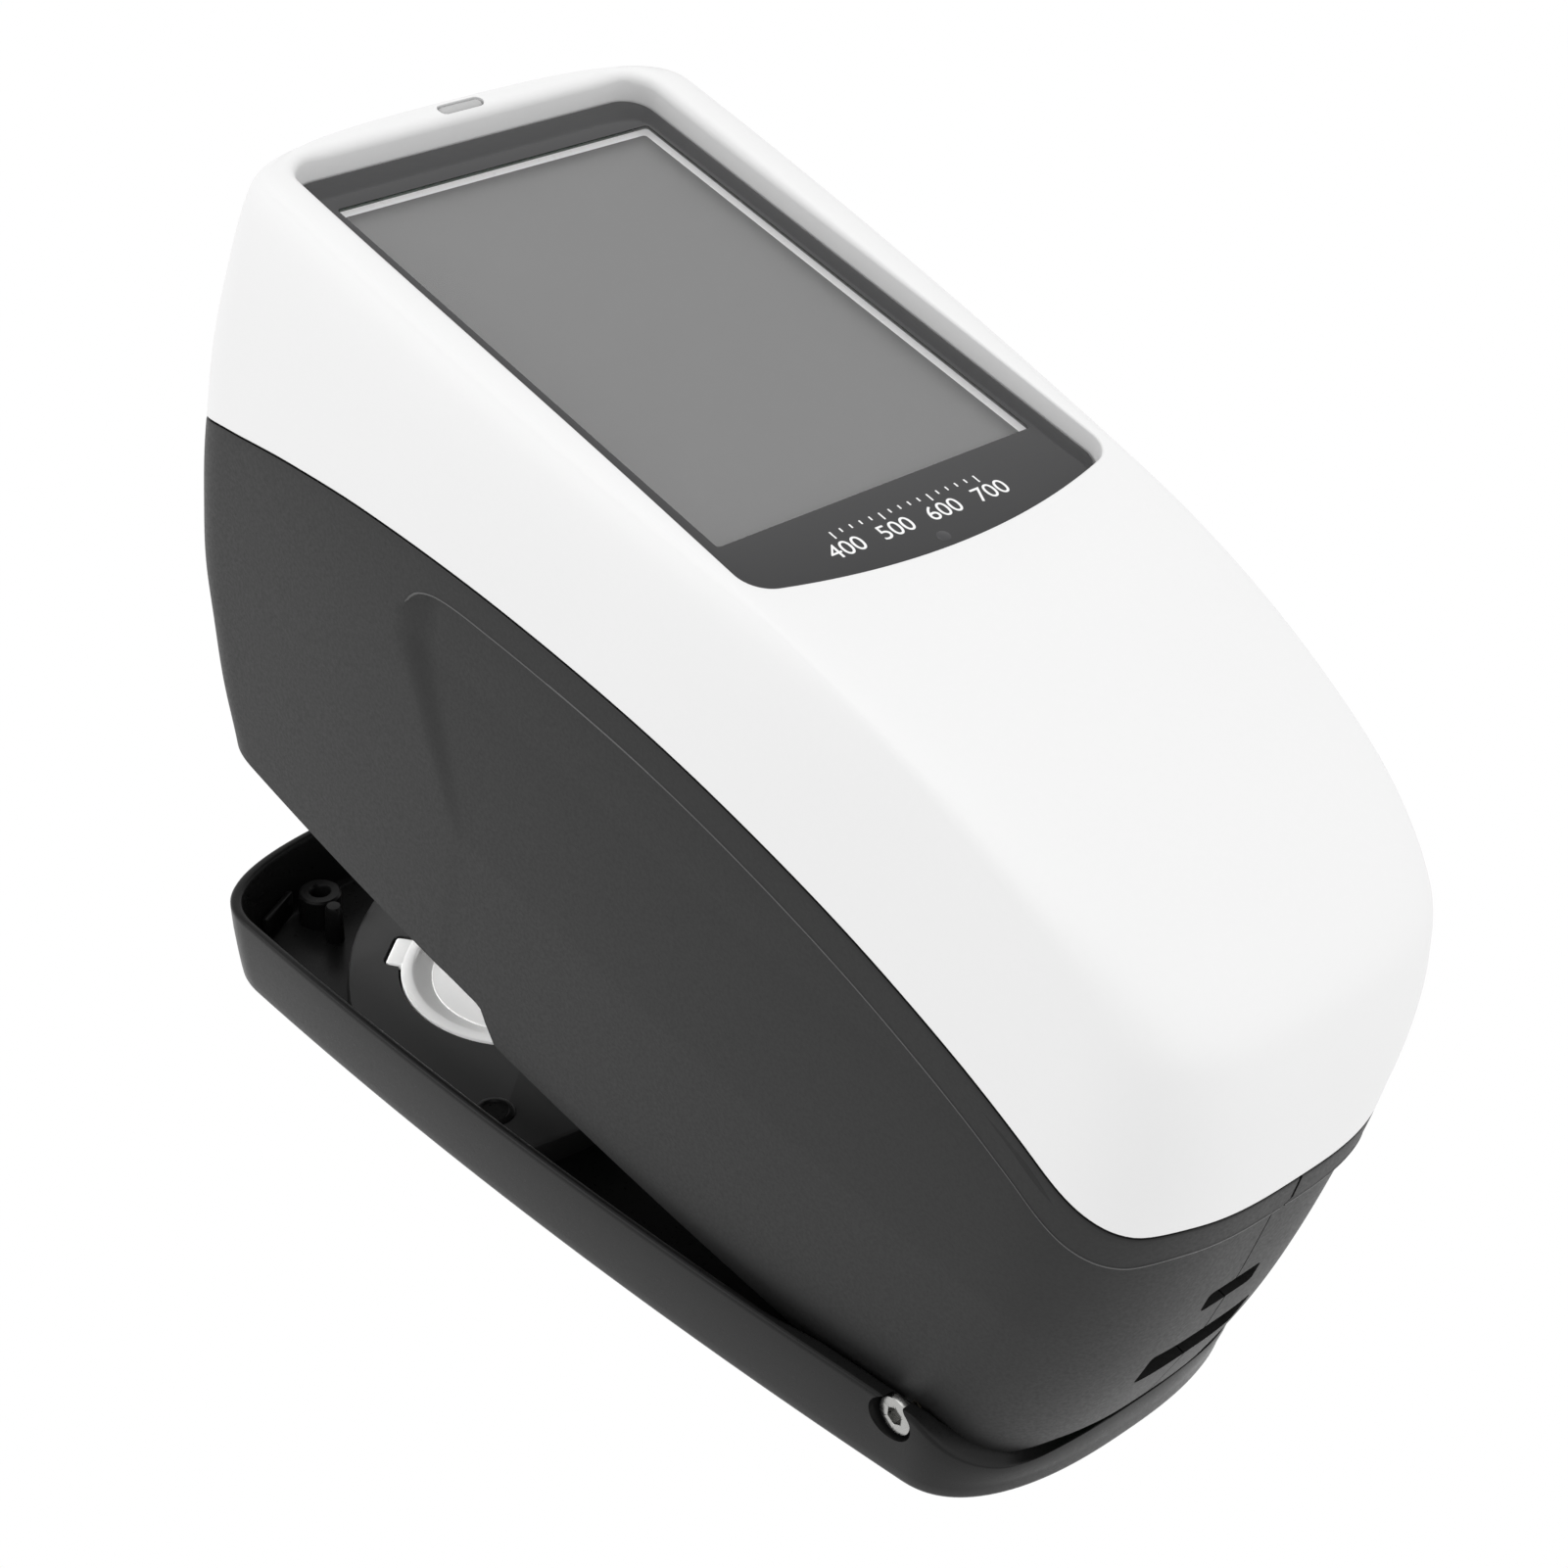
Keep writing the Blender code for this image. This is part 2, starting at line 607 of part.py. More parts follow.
def make_hinge():
    """Pivot screws through the tray walls, turning in flanged bushes in the side shells."""
    outer = base_half_width(PIVOT_Y)
    head_low = outer - COUNTERBORE_DEPTH + GAP
    bush_in = bush_inner_end()
    for side, hand in ((-1, "left"), (1, "right")):
        head = cylinder("pivot_screw_" + hand, SCREW_HEAD_RADIUS, SCREW_HEAD_THICKNESS,
                        (side * (head_low + SCREW_HEAD_THICKNESS / 2), PIVOT_Y, PIVOT_Z), "X")
        shank_length = head_low - bush_in + SCREW_HEAD_THICKNESS / 2
        shank = cylinder("pivot_shank_" + hand, SCREW_RADIUS, shank_length,
                         (side * (bush_in + shank_length / 2), PIVOT_Y, PIVOT_Z), "X")
        combine(head, shank, "UNION")
        socket = cylinder("hex_socket_" + hand, SCREW_HEAD_RADIUS * 0.4, SCREW_HEAD_THICKNESS,
                          (side * (head_low + SCREW_HEAD_THICKNESS), PIVOT_Y, PIVOT_Z), "X", sides=6)
        combine(head, socket)
        finish(head, STEEL)
        bush = cylinder("pivot_bush_" + hand, BUSH_RADIUS, BUSH_LENGTH,
                        (side * (bush_in + BUSH_LENGTH / 2), PIVOT_Y, PIVOT_Z), "X", on_body=True)
        combine(bush, cylinder("bush_bore_" + hand, SCREW_RADIUS + GAP, 2 * BUSH_LENGTH,
                               (side * (bush_in + BUSH_LENGTH / 2), PIVOT_Y, PIVOT_Z), "X", on_body=True))
        finish(bush, BRASS)


def seam_curve():
    keys = mm_keys(reversed(SEAM))
    low, high = keys[0][0], keys[-1][0]
    count = 40
    steps = [low + (high - low) * index / count for index in range(count + 1)]
    return [(y, smooth(keys, y)) for y in steps]


def seam_cutter(name, lift, limit):
    """Everything on one side of the seam between the cover and the side shells."""
    curve = [(y, z + lift) for y, z in seam_curve()]
    return prism(name, curve + [(curve[-1][0], limit), (curve[0][0], limit)], -BASE_WIDTH, BASE_WIDTH,
                 on_body=True)


def make_top_cover():
    cover = body_skin("top_cover")
    combine(cover, body_core("cover_core"))
    combine(cover, seam_cutter("under_seam", GAP / 2, -BASE_WIDTH))
    combine(cover, screen_plate("glass_pocket", glass_outline(GAP), -GAP, BASE_WIDTH / 2))
    combine(cover, screen_plate("panel_opening", rectangle(PANEL_WIDTH / 2 + GAP, panel_low() - GAP,
                                                           panel_low() + PANEL_LENGTH + GAP),
                                -BASE_WIDTH / 4, BASE_WIDTH / 4))
    combine(cover, box("light_hole", (LIGHT_WIDTH + 2 * GAP, LIGHT_DEPTH + 2 * GAP, BASE_WIDTH / 2),
                       (0, LIGHT_Y, SCREEN_Z), on_body=True))
    finish(cover, WHITE_ABS)


def panel_low():
    return GLASS_FAR_Y - PANEL_FAR_MARGIN - PANEL_LENGTH


def make_side_shells():
    for side, hand in ((-1, "left"), (1, "right")):
        shell = body_skin(hand + "_side_shell")
        combine(shell, body_core(hand + "_core"))
        combine(shell, seam_cutter(hand + "_over_seam", -GAP / 2, 2 * BASE_WIDTH))
        combine(shell, box(hand + "_half", (2 * BASE_WIDTH, 3 * BASE_LENGTH, 3 * BASE_WIDTH),
                           (side * (GAP / 2 - BASE_WIDTH), 0, 0), on_body=True))
        for x, y in bolt_places():
            boss_low = plate_top(y) + GAP
            boss_top = boss_low + BOLT_LENGTH
            combine(shell, box(hand + "_bolt_boss", (BOLT_BOSS_RADIUS * 3, BOLT_BOSS_RADIUS * 2,
                                                     boss_top - boss_low),
                               (side * (x + BOLT_BOSS_RADIUS / 2), y, (boss_top + boss_low) / 2),
                               on_body=True), "UNION")
            combine(shell, cylinder(hand + "_bolt_bore", BOLT_RADIUS + GAP, BOLT_LENGTH,
                                    (side * x, y, boss_low + BOLT_LENGTH / 2 - GAP), on_body=True,
                                    sides=SMALL_ROUND))
        combine(shell, box(hand + "_far_step", (2 * BASE_WIDTH, BASE_LENGTH, RIM_HEIGHT),
                           (0, STEP_Y + BASE_LENGTH / 2, FAR_FOOT - RIM_HEIGHT / 2), on_body=True))
        combine(shell, box(hand + "_socket_slot", (SOCKET_SLOT[0], SLOT_REACH, SOCKET_SLOT[1]),
                           (0, PORT_BOARD_Y - SLOT_REACH / 2, SOCKET_Z), on_body=True))
        combine(shell, box(hand + "_strap_slot", (STRAP_SLOT[0], SLOT_REACH, STRAP_SLOT[1]),
                           (0, PORT_BOARD_Y - SLOT_REACH / 2, STRAP_Z), on_body=True))
        combine(shell, cylinder(hand + "_bush_hole", BUSH_RADIUS + GAP, BASE_WIDTH / 2,
                                (side * BASE_WIDTH / 2, PIVOT_Y, PIVOT_Z), "X", on_body=True))
        combine(shell, nose_relief(hand + "_open_relief", on_body=False))
        combine(shell, nose_relief(hand + "_closed_relief", on_body=True))
        finish(shell, BLACK_ABS)


def plate_low(y):
    return FAR_FOOT if y > STEP_Y else BODY_FOOT


def plate_top(y):
    return plate_low(y) + PLATE_THICKNESS


def make_bottom_plate():
    """Underside plate, stepped up over the target so that the body closes on to it."""
    outline = [(x, y) for x, y, z in body_loop(0, SHELL_WALL + GAP)]
    bottom = plate("bottom_plate", outline, BODY_FOOT, FAR_FOOT + PLATE_THICKNESS, on_body=True)
    tall = RIM_HEIGHT
    combine(bottom, box("front_relief", (2 * BASE_WIDTH, BASE_LENGTH, tall),
                        (0, STEP_Y - PLATE_THICKNESS - BASE_LENGTH / 2,
                         plate_top(-BASE_LENGTH) + tall / 2), on_body=True))
    combine(bottom, box("far_relief", (2 * BASE_WIDTH, BASE_LENGTH, tall),
                        (0, STEP_Y + BASE_LENGTH / 2, FAR_FOOT - tall / 2), on_body=True))
    combine(bottom, cylinder("port_hole", PORT_RADIUS, BASE_WIDTH, (0, TARGET_Y, 0), on_body=True))
    cup_top = BODY_FOOT + CUP_DEPTH
    combine(bottom, cylinder("spring_cup", CUP_RADIUS + CUP_WALL, CUP_DEPTH + CUP_WALL,
                             (0, SPRING_Y, BODY_FOOT + (CUP_DEPTH + CUP_WALL) / 2), on_body=True),
            "UNION")
    combine(bottom, cylinder("cup_bore", CUP_RADIUS, 2 * CUP_DEPTH, (0, SPRING_Y, cup_top - CUP_DEPTH),
                             on_body=True))
    combine(bottom, cylinder("plunger_hole", PLUNGER_RADIUS + GAP, RIM_HEIGHT, (switch_x(), SWITCH_Y,
                                                                                BODY_FOOT),
                             on_body=True, sides=SMALL_ROUND))
    for side in (-1, 1):
        for x, y in bolt_places():
            combine(bottom, cylinder("bolt_hole", BOLT_RADIUS + GAP, RIM_HEIGHT, (side * x, y,
                                                                                  plate_low(y)),
                                     on_body=True, sides=SMALL_ROUND))
            combine(bottom, cylinder("bolt_sink", BOLT_HEAD_RADIUS + GAP, 2 * BOLT_HEAD_THICKNESS,
                                     (side * x, y, plate_low(y)), on_body=True, sides=SMALL_ROUND))
        relief_x = bush_inner_end() - GAP + BASE_WIDTH / 4
        combine(bottom, cylinder("bush_relief", BUSH_RADIUS + 2 * GAP, BASE_WIDTH / 2,
                                 (side * relief_x, PIVOT_Y, PIVOT_Z), "X", on_body=True))
    finish(bottom, BLACK_ABS)


def make_bolts():
    number = 0
    for x, y in bolt_places():
        for side in (-1, 1):
            number += 1
            head_low = plate_low(y) + GAP / 2
            bolt = cylinder("plate_screw_%d" % number, BOLT_HEAD_RADIUS, BOLT_HEAD_THICKNESS - GAP,
                            (side * x, y, head_low + (BOLT_HEAD_THICKNESS - GAP) / 2), on_body=True,
                            sides=SMALL_ROUND)
            combine(bolt, cylinder("bolt_shank", BOLT_RADIUS, BOLT_LENGTH - 2 * GAP,
                                   (side * x, y, head_low + GAP / 2 + BOLT_LENGTH / 2 - GAP),
                                   on_body=True,
                                   sides=SMALL_ROUND), "UNION")
            finish(bolt, STEEL)


def make_screen():
    glass_low = 0.0
    finish(screen_plate("touch_glass", glass_outline(0), glass_low, glass_low + GLASS_THICKNESS), GLASS)
    panel_top = glass_low - GAP
    panel_outline = rectangle(PANEL_WIDTH / 2, panel_low(), panel_low() + PANEL_LENGTH)
    finish(screen_plate("display_panel", panel_outline, panel_top - PANEL_THICKNESS, panel_top),
           PANEL_GREY)
    board_top = panel_top - PANEL_THICKNESS - GAP
    finish(screen_plate("main_board", panel_outline, board_top - BOARD_THICKNESS, board_top), BOARD_GREEN)
    light_low = core_top(LIGHT_Y) - GAP
    light_top = cover_top(LIGHT_Y) - GAP
    finish(box("status_light", (LIGHT_WIDTH, LIGHT_DEPTH, light_top - light_low),
               (0, LIGHT_Y, (light_top + light_low) / 2), on_body=True), LIGHT_GREY)


def make_optics():
    seat = plate_top(TARGET_Y) + GAP
    centre = (0, TARGET_Y, seat + SPHERE_RADIUS - SPHERE_FLAT)
    bm = bmesh.new()
    bmesh.ops.create_uvsphere(bm, u_segments=24, v_segments=14, radius=SPHERE_RADIUS)
    sphere = add("integrating_sphere", bm, centre, on_body=True)
    bm = bmesh.new()
    bmesh.ops.create_uvsphere(bm, u_segments=24, v_segments=14, radius=SPHERE_RADIUS - SPHERE_WALL)
    combine(sphere, add("sphere_hollow", bm, centre, on_body=True))
    combine(sphere, box("sphere_seat", (BASE_WIDTH, BASE_WIDTH, RIM_HEIGHT), (0, TARGET_Y,
                                                                              seat - RIM_HEIGHT / 2),
                        on_body=True))
    combine(sphere, cylinder("sphere_port", APERTURE_RADIUS * 1.5, SPHERE_RADIUS, (0, TARGET_Y, seat),
                             on_body=True))
    barrel_far = TARGET_Y - SPHERE_RADIUS + SPHERE_WALL
    combine(sphere, cylinder("barrel_port", BARREL_RADIUS + GAP, SPHERE_RADIUS,
                             (0, barrel_far - SPHERE_RADIUS / 2 + SPHERE_WALL, centre[2]), "Y",
                             on_body=True))
    finish(sphere, TILE_WHITE)
    drop = FAR_FOOT - APERTURE_DROP
    aperture = turned("aperture_ring", [(APERTURE_RADIUS, drop), (APERTURE_RADIUS, seat - GAP),
                                        (PORT_RADIUS - GAP, seat - GAP), (PORT_RADIUS - GAP, FAR_FOOT),
                                        (PORT_RADIUS - GAP - APERTURE_TAPER, drop)], (0, TARGET_Y, 0),
                      on_body=True)
    finish(aperture, BLACK_ABS)
    lamp_low = centre[2] + SPHERE_RADIUS + GAP
    finish(cylinder("lamp_board", LAMP_BOARD_RADIUS, BOARD_THICKNESS,
                    (0, TARGET_Y, lamp_low + BOARD_THICKNESS / 2), on_body=True), BOARD_GREEN)
    make_spectrometer(barrel_far, centre[2])


def make_spectrometer(barrel_far, beam_z):
    low = plate_top(-BASE_LENGTH) + GAP
    far = SPRING_Y - CUP_RADIUS - CUP_WALL - 2 * GAP
    middle = far - OPTICS_LENGTH / 2
    housing = box("spectrometer_housing", (OPTICS_WIDTH, OPTICS_LENGTH, OPTICS_HEIGHT),
                  (0, middle, low + OPTICS_HEIGHT / 2), on_body=True)
    combine(housing, box("optics_hollow", (OPTICS_WIDTH - 2 * OPTICS_WALL,
                                           OPTICS_LENGTH - 2 * OPTICS_WALL, OPTICS_HEIGHT),
                         (0, middle, low + OPTICS_WALL + OPTICS_HEIGHT / 2), on_body=True))
    combine(housing, cylinder("beam_hole", BARREL_RADIUS + GAP, OPTICS_LENGTH / 2, (0, far, beam_z), "Y",
                              on_body=True))
    finish(housing, ALUMINIUM)
    barrel_low = far - OPTICS_WALL
    barrel_length = barrel_far - barrel_low
    barrel = cylinder("lens_barrel", BARREL_RADIUS, barrel_length, (0, barrel_low + barrel_length / 2,
                                                                    beam_z), "Y",
                      on_body=True)
    combine(barrel, cylinder("barrel_bore", BARREL_RADIUS * 0.7, 2 * barrel_length, (0, barrel_low,
                                                                                     beam_z), "Y",
                             on_body=True))
    finish(barrel, BLACK_ABS)
    floor = low + OPTICS_WALL + GAP
    grating_height = beam_z - floor + BARREL_RADIUS
    near = middle - OPTICS_LENGTH / 2 + OPTICS_WALL
    finish(box("diffraction_grating", (4 * BARREL_RADIUS, OPTICS_WALL * 2, grating_height),
               (0, near + GAP + OPTICS_WALL, floor + grating_height / 2), on_body=True), ALUMINIUM)
    wall_x = OPTICS_WIDTH / 2 - OPTICS_WALL
    finish(box("detector_board", (BOARD_THICKNESS, OPTICS_LENGTH / 2, grating_height),
               (wall_x - GAP - BOARD_THICKNESS / 2, middle, floor + grating_height / 2), on_body=True),
           BOARD_GREEN)
    lid_low = low + OPTICS_HEIGHT + GAP
    finish(box("spectrometer_lid", (OPTICS_WIDTH, OPTICS_LENGTH, OPTICS_WALL),
               (0, middle, lid_low + OPTICS_WALL / 2), on_body=True), ALUMINIUM)
    battery_low = lid_low + OPTICS_WALL + GAP
    finish(box("battery_pack", BATTERY_SIZE, (0, middle, battery_low + BATTERY_SIZE[2] / 2),
               on_body=True), CELL_BLUE)


def make_switch():
    low = plate_top(SWITCH_Y) + GAP
    switch = box("measuring_switch", SWITCH_SIZE, (switch_x(), SWITCH_Y, low + SWITCH_SIZE[2] / 2),
                 on_body=True)
    plunger_low = BODY_FOOT - PLUNGER_DROP
    plunger_top = low + PLUNGER_RADIUS
    combine(switch, cylinder("switch_bore", PLUNGER_RADIUS + GAP,
                             2 * (plunger_top - low + PLUNGER_TRAVEL + GAP),
                             (switch_x(), SWITCH_Y, low), on_body=True, sides=SMALL_ROUND))
    finish(switch, BLACK_ABS)
    finish(cylinder("switch_plunger", PLUNGER_RADIUS, plunger_top - plunger_low,
                    (switch_x(), SWITCH_Y, (plunger_top + plunger_low) / 2), on_body=True,
                    sides=SMALL_ROUND), LIGHT_GREY)


def make_socket():
    low = plate_top(PORT_BOARD_Y) + GAP
    board_height = SOCKET_Z + SOCKET_SLOT[0] / 2 - low
    board_width = 2 * SOCKET_SLOT[0]
    finish(box("port_board", (board_width, BOARD_THICKNESS, board_height),
               (0, PORT_BOARD_Y, low + board_height / 2), on_body=True), BOARD_GREEN)
    socket_far = PORT_BOARD_Y - BOARD_THICKNESS / 2 - GAP
    socket_near = nose_inside(SOCKET_Z) + GAP
    depth = socket_far - socket_near
    socket = box("data_socket", (SOCKET_SLOT[0] - 2 * GAP, depth, SOCKET_SLOT[1]),
                 (0, socket_near + depth / 2, SOCKET_Z), on_body=True)
    rim = SOCKET_WALL
    combine(socket, box("socket_mouth", (SOCKET_SLOT[0] - 2 * GAP - 2 * rim, depth,
                                         SOCKET_SLOT[1] - 2 * rim),
                        (0, socket_near + depth / 2 - depth * 0.2, SOCKET_Z), on_body=True))
    finish(socket, STEEL)


def nose_inside(z):
    """Inner face of the nose wall on the centre line."""
    share = (z - BODY_FOOT) / (core_top(PORT_BOARD_Y) - BODY_FOOT)
    return smooth(share_keys(NOSE_OUTLINE), share) + SHELL_WALL * NOSE_WALL_FACTOR


def hinge_turn(y, z):
    """Where a point of the closed body stands at rest, with the body open."""
    dy, dz = y - PIVOT_Y, z - PIVOT_Z
    cosine, sine = math.cos(OPEN_ANGLE), math.sin(OPEN_ANGLE)
    return PIVOT_Y + dy * cosine - dz * sine, PIVOT_Z + dy * sine + dz * cosine


def make_return_spring():
    """Helical compression spring from the tray floor up into its cup in the underside."""
    cup_y, cup_z = hinge_turn(SPRING_Y, BODY_FOOT + CUP_DEPTH)
    mouth_y, mouth_z = hinge_turn(SPRING_Y, BODY_FOOT)
    middle_y = (cup_y + mouth_y) / 2
    wire = SPRING_WIRE / 2
    reach = SPRING_RADIUS + wire
    low = TRAY_FLOOR + GAP + wire
    high = cup_z - reach * math.tan(OPEN_ANGLE) - GAP - wire
    count = SPRING_TURNS * SPRING_POINTS
    curve = bpy.data.curves.new("return_spring", "CURVE")
    curve.dimensions = "3D"
    curve.bevel_depth = wire
    curve.bevel_resolution = 1
    curve.use_fill_caps = True
    spline = curve.splines.new("POLY")
    spline.points.add(count)
    pitch = (high - low) / SPRING_TURNS
    for index, point in enumerate(spline.points):
        turn = 2 * math.pi * index / SPRING_POINTS
        point.co = (SPRING_RADIUS * math.cos(turn), SPRING_RADIUS * math.sin(turn),
                    pitch * index / SPRING_POINTS, 1)
    print("least gap between spring turns, mm:", round((pitch - SPRING_WIRE) / MM, 2))
    spring = bpy.data.objects.new("return_spring", curve)
    spring.location = (0, middle_y, low)
    PARTS.objects.link(spring)
    curve.materials.append(STEEL)


make_base_tray()
make_pad()
make_target()
make_hinge()
make_return_spring()
make_top_cover()
make_side_shells()
make_bottom_plate()
make_bolts()
make_screen()
make_optics()
make_switch()
make_socket()
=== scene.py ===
"""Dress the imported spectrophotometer: finer shells, screen, tray and target over the fixed frame.

Laid out as an add-on and run as a script. Sizes are metres in the part's own frame. The measuring
body is drawn closed, as its moulds would be, and then turned open on the hinge to where it rests.
"""
from math import atan, cos, hypot, pi, radians, sin, tau

import bpy
from bpy.props import FloatProperty, FloatVectorProperty, PointerProperty
from mathutils import Matrix, Vector


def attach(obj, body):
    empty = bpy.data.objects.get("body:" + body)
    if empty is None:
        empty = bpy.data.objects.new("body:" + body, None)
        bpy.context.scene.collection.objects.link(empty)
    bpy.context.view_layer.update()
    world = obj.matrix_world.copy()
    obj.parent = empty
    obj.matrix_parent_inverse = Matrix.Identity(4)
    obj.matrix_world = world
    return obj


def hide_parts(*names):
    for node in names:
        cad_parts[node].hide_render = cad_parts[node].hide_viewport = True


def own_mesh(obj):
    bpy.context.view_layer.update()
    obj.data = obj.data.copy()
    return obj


bl_info = {
    "name": "Spectrophotometer dressing",
    "version": (1, 0, 0),
    "blender": (4, 5, 0),
    "location": "3D View > Sidebar > Instrument",
    "description": "Fine shells, screen, tray and finishes for a hinged spectrophotometer",
    "category": "Object",
}

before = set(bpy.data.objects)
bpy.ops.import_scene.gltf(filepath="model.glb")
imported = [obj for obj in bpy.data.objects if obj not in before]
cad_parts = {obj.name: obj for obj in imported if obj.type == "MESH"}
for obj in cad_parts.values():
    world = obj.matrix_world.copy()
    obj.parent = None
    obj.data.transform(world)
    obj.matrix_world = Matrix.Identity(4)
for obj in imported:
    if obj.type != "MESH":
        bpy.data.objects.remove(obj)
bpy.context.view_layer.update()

MM = 0.001
# The hinge and the tray, as in the CAD
PIVOT = Vector((0, -63.5, 10.5)) * MM
OPEN_ANGLE = radians(12)
BASE_LENGTH = 156.5 * MM
BASE_WIDTH = 77 * MM
TRAY_WALL = 2.3 * MM
TRAY_FLOOR = 2.5 * MM
RIM_HEIGHT = 13.5 * MM
# Top of the rim along the side, in millimetres: low at the front lip, full past the hinge
LIP_LINE = ((-80, 7.4), (-78.2, 7.3), (-76.6, 6.5), (-75.5, 6.6), (-74, 7.6), (-67.4, 12.8), (-65, 13.3),
            (-58, 13.5))
# Where along the tray, and over what length, the rim gets thinner, in millimetres
THIN_RIM = (-54, 12)
WIDEST_Y = 64.75 * MM
SIDE_TAPER = 0.573
TARGET = Vector((-8, 37.8, 0)) * MM
RING_RADIUS = 17.4 * MM
RING_LOW = 5.1 * MM
TILE_RADIUS = 12.9 * MM
LUG_ANGLE = radians(129)
LUG_REACH = RING_RADIUS - 0.1 * MM
SEAT_GAP = 0.35 * MM
SCREW_HEAD_SINK = 1.85 * MM
# The return spring, in millimetres
SPRING_Y = -9.42
SPRING_RADIUS = 4
SPRING_WIRE = 0.45
SPRING_HEIGHTS = (3.25, 25.2)
SPRING_TURNS = 7.5
SPRING_END_TURN = 0.9
# The closed body
FOOT = 7.5 * MM
FOOT_HALF_WIDTH = 35.2 * MM
TOP_AT_CHIN = 101.6 * MM
CHIN_Y = -13 * MM
TOP_SLOPE = -0.008
SCREEN = Vector((0, 37.2, 96.9)) * MM
SCREEN_TILT = radians(-1.47)
GLASS_HALF_WIDTH = 28 * MM
GLASS_FAR_Y = 81.6 * MM
GLASS_CHIN_Y = -14.3 * MM
GLASS_SAG = 4.5 * MM
GLASS_CORNER = 4 * MM
GLASS_THICKNESS = 1.1 * MM
WINDOW_HALF_WIDTH = 24.75 * MM
WINDOW_LENGTH = 75.2 * MM
WINDOW_CORNER = 0.5 * MM
POCKET_GAP = 0.3 * MM
LIGHT_Y = 83.8 * MM
LIGHT_SIZE = (7 * MM, 1.9 * MM)
LIGHT_GAP = 0.06 * MM
# The printed scale: distance between its numbers, and how thick the ink lies, in metres
MARK_PITCH = 7.6 * MM
MARK_INK = 0.02 * MM
# Nose slots as (width, height over the bench, tallness) in millimetres
SOCKET_SLOT = (9.1, 39, 3.9)
STRAP_SLOT = (17.6, 26.9, 6.4)
SLOT_Y = -82 * MM
SLOT_DEPTH = 24 * MM
# Share of a half outline that each of its ends takes
END_SHARE = 0.3
# Plan ends as (depth in millimetres, squareness)
BASE_FRONT_END = (12, 2.5)
BASE_FAR_END = (15, 2.7)
NOSE_ENDS = ((19, 3), (12, 4))
FAR_ENDS = ((14, 3), (9, 3))
UPPER_START = 0.6
# Side view of the closed body in millimetres
NOSE_OUTLINE = ((-78.5, 7.5), (-79.8, 12.3), (-81.8, 22), (-83, 30.3), (-83.8, 40), (-84.2, 50),
                (-84.3, 58.7), (-84, 65.6), (-83, 73), (-81, 80), (-77.5, 86.2), (-68, 92.4),
                (-55, 96.6), (-40, 99.6), (-25, 101.25), (-15.3, 101.59))
FAR_OUTLINE = ((79, 7.5), (80, 12.4), (84.2, 21.3), (87.2, 30.3), (89.8, 39), (90.8, 48.6),
               (91.2, 57.8), (90.7, 68), (89.6, 78), (87.9, 88.4), (86.7, 97), (86.2, 99.6),
               (85.3, 100.81))
SEAM = ((-92, 60.2), (-83, 60.3), (-79.5, 59), (-75, 60.3), (-66, 65), (-54, 69.7), (-38.5, 74),
        (-22.5, 76.7), (-6, 78.1), (10.8, 78), (28.7, 76.6), (47.8, 73.6), (63.2, 69.8), (74.2, 66.3),
        (81, 63.9), (88, 59.5), (96, 54))
# How far the sides stand out past the foot, by share of the height
SECTIONS = ((0, 0), (0.04, 0.4), (0.15, 0.8), (0.3, 1.25), (0.45, 1.7), (0.58, 2), (0.7, 2), (0.8, 1.6),
            (0.87, 1.1), (0.915, 0.6), (0.945, 0.1), (0.968, -0.4), (0.985, -1), (0.995, -1.7), (1, -2.6))
# Lower edge of the side shells: raised over the front lip and, past a slanted step, over the target
FOOT_LINE = ((-90, 13.4), (-79.5, 13.4), (-78.3, 12.6), (-76.8, 11), (-75, 9.6), (-72.7, 8.8), (-66, 7.5),
             (11, 7.5), (14.4, 12.4), (100, 12.4))
# How far the grip recess starts under the seam
GRIP_OFFSET = ((-90, 4.6), (-84, 4.6), (-80, 5.3), (-74, 6), (-66, 5.9), (-40, 5.2), (-12, 4.6), (22, 4.5),
               (31, 4.7), (35, 5.9), (37, 8), (38, 11))
# The recess's far edge: the way down it by height, and at its two ends its place and the width of its fade
GRIP_DROP = ((38, 1), (62, 0))
GRIP_EDGE_Y = (37.7, 23.1)
GRIP_EDGE_FADE = (4.2, 1.6)
# Start and length of the change to the nose's depth, and the share of depth lost further down
GRIP_NOSE = (-70, 12)
GRIP_LOSS = 0.9
GRIP_STEP = 0.4 * MM
# Rows of a shell's rounded edge from its end: rise and inset as shares of the rounding
EDGE_ROWS = ((0, 0.8), (0.1, 0.25), (0.5, 0.06))

# The camera that the photograph was fitted with, for a square frame
CAMERA_PLACE = (-0.213104, -0.232215, 0.272603)
CAMERA_RIGHT = (0.749753, -0.659526, 0.053806)
CAMERA_UP = (0.339784, 0.453489, 0.823951)
CAMERA_AIM = (0.567817, 0.599477, -0.564101)
CAMERA_LENS = 67.115
# Lamps as (name, place, size, power), and the light of the white room
LAMPS = (("overhead", (0.0, 0.1, 1.1), 1.0, 3.3), ("left_fill", (-0.9, 0.5, 0.32), 0.6, 2.6),
         ("front_fill", (0.35, -1.1, 0.45), 1.2, 4.0), ("target_fill", (-0.5, 0.4, 0.2), 0.3, 8.0))
LAMP_AIM = Vector((0, 0, 0.05))
ROOM_LIGHT = 0.86

# Grain of the finishes: size of the broad cloud in millimetres, and where most of the noise lies
CLOUD_MM = 35
NOISE_LOW = 0.3
NOISE_HIGH = 0.7
# Points of a grid that lie closer than this become one, and thinner faces go
MERGE_REACH = 0.004 * MM
THINNEST_FACE = 0.002 * MM


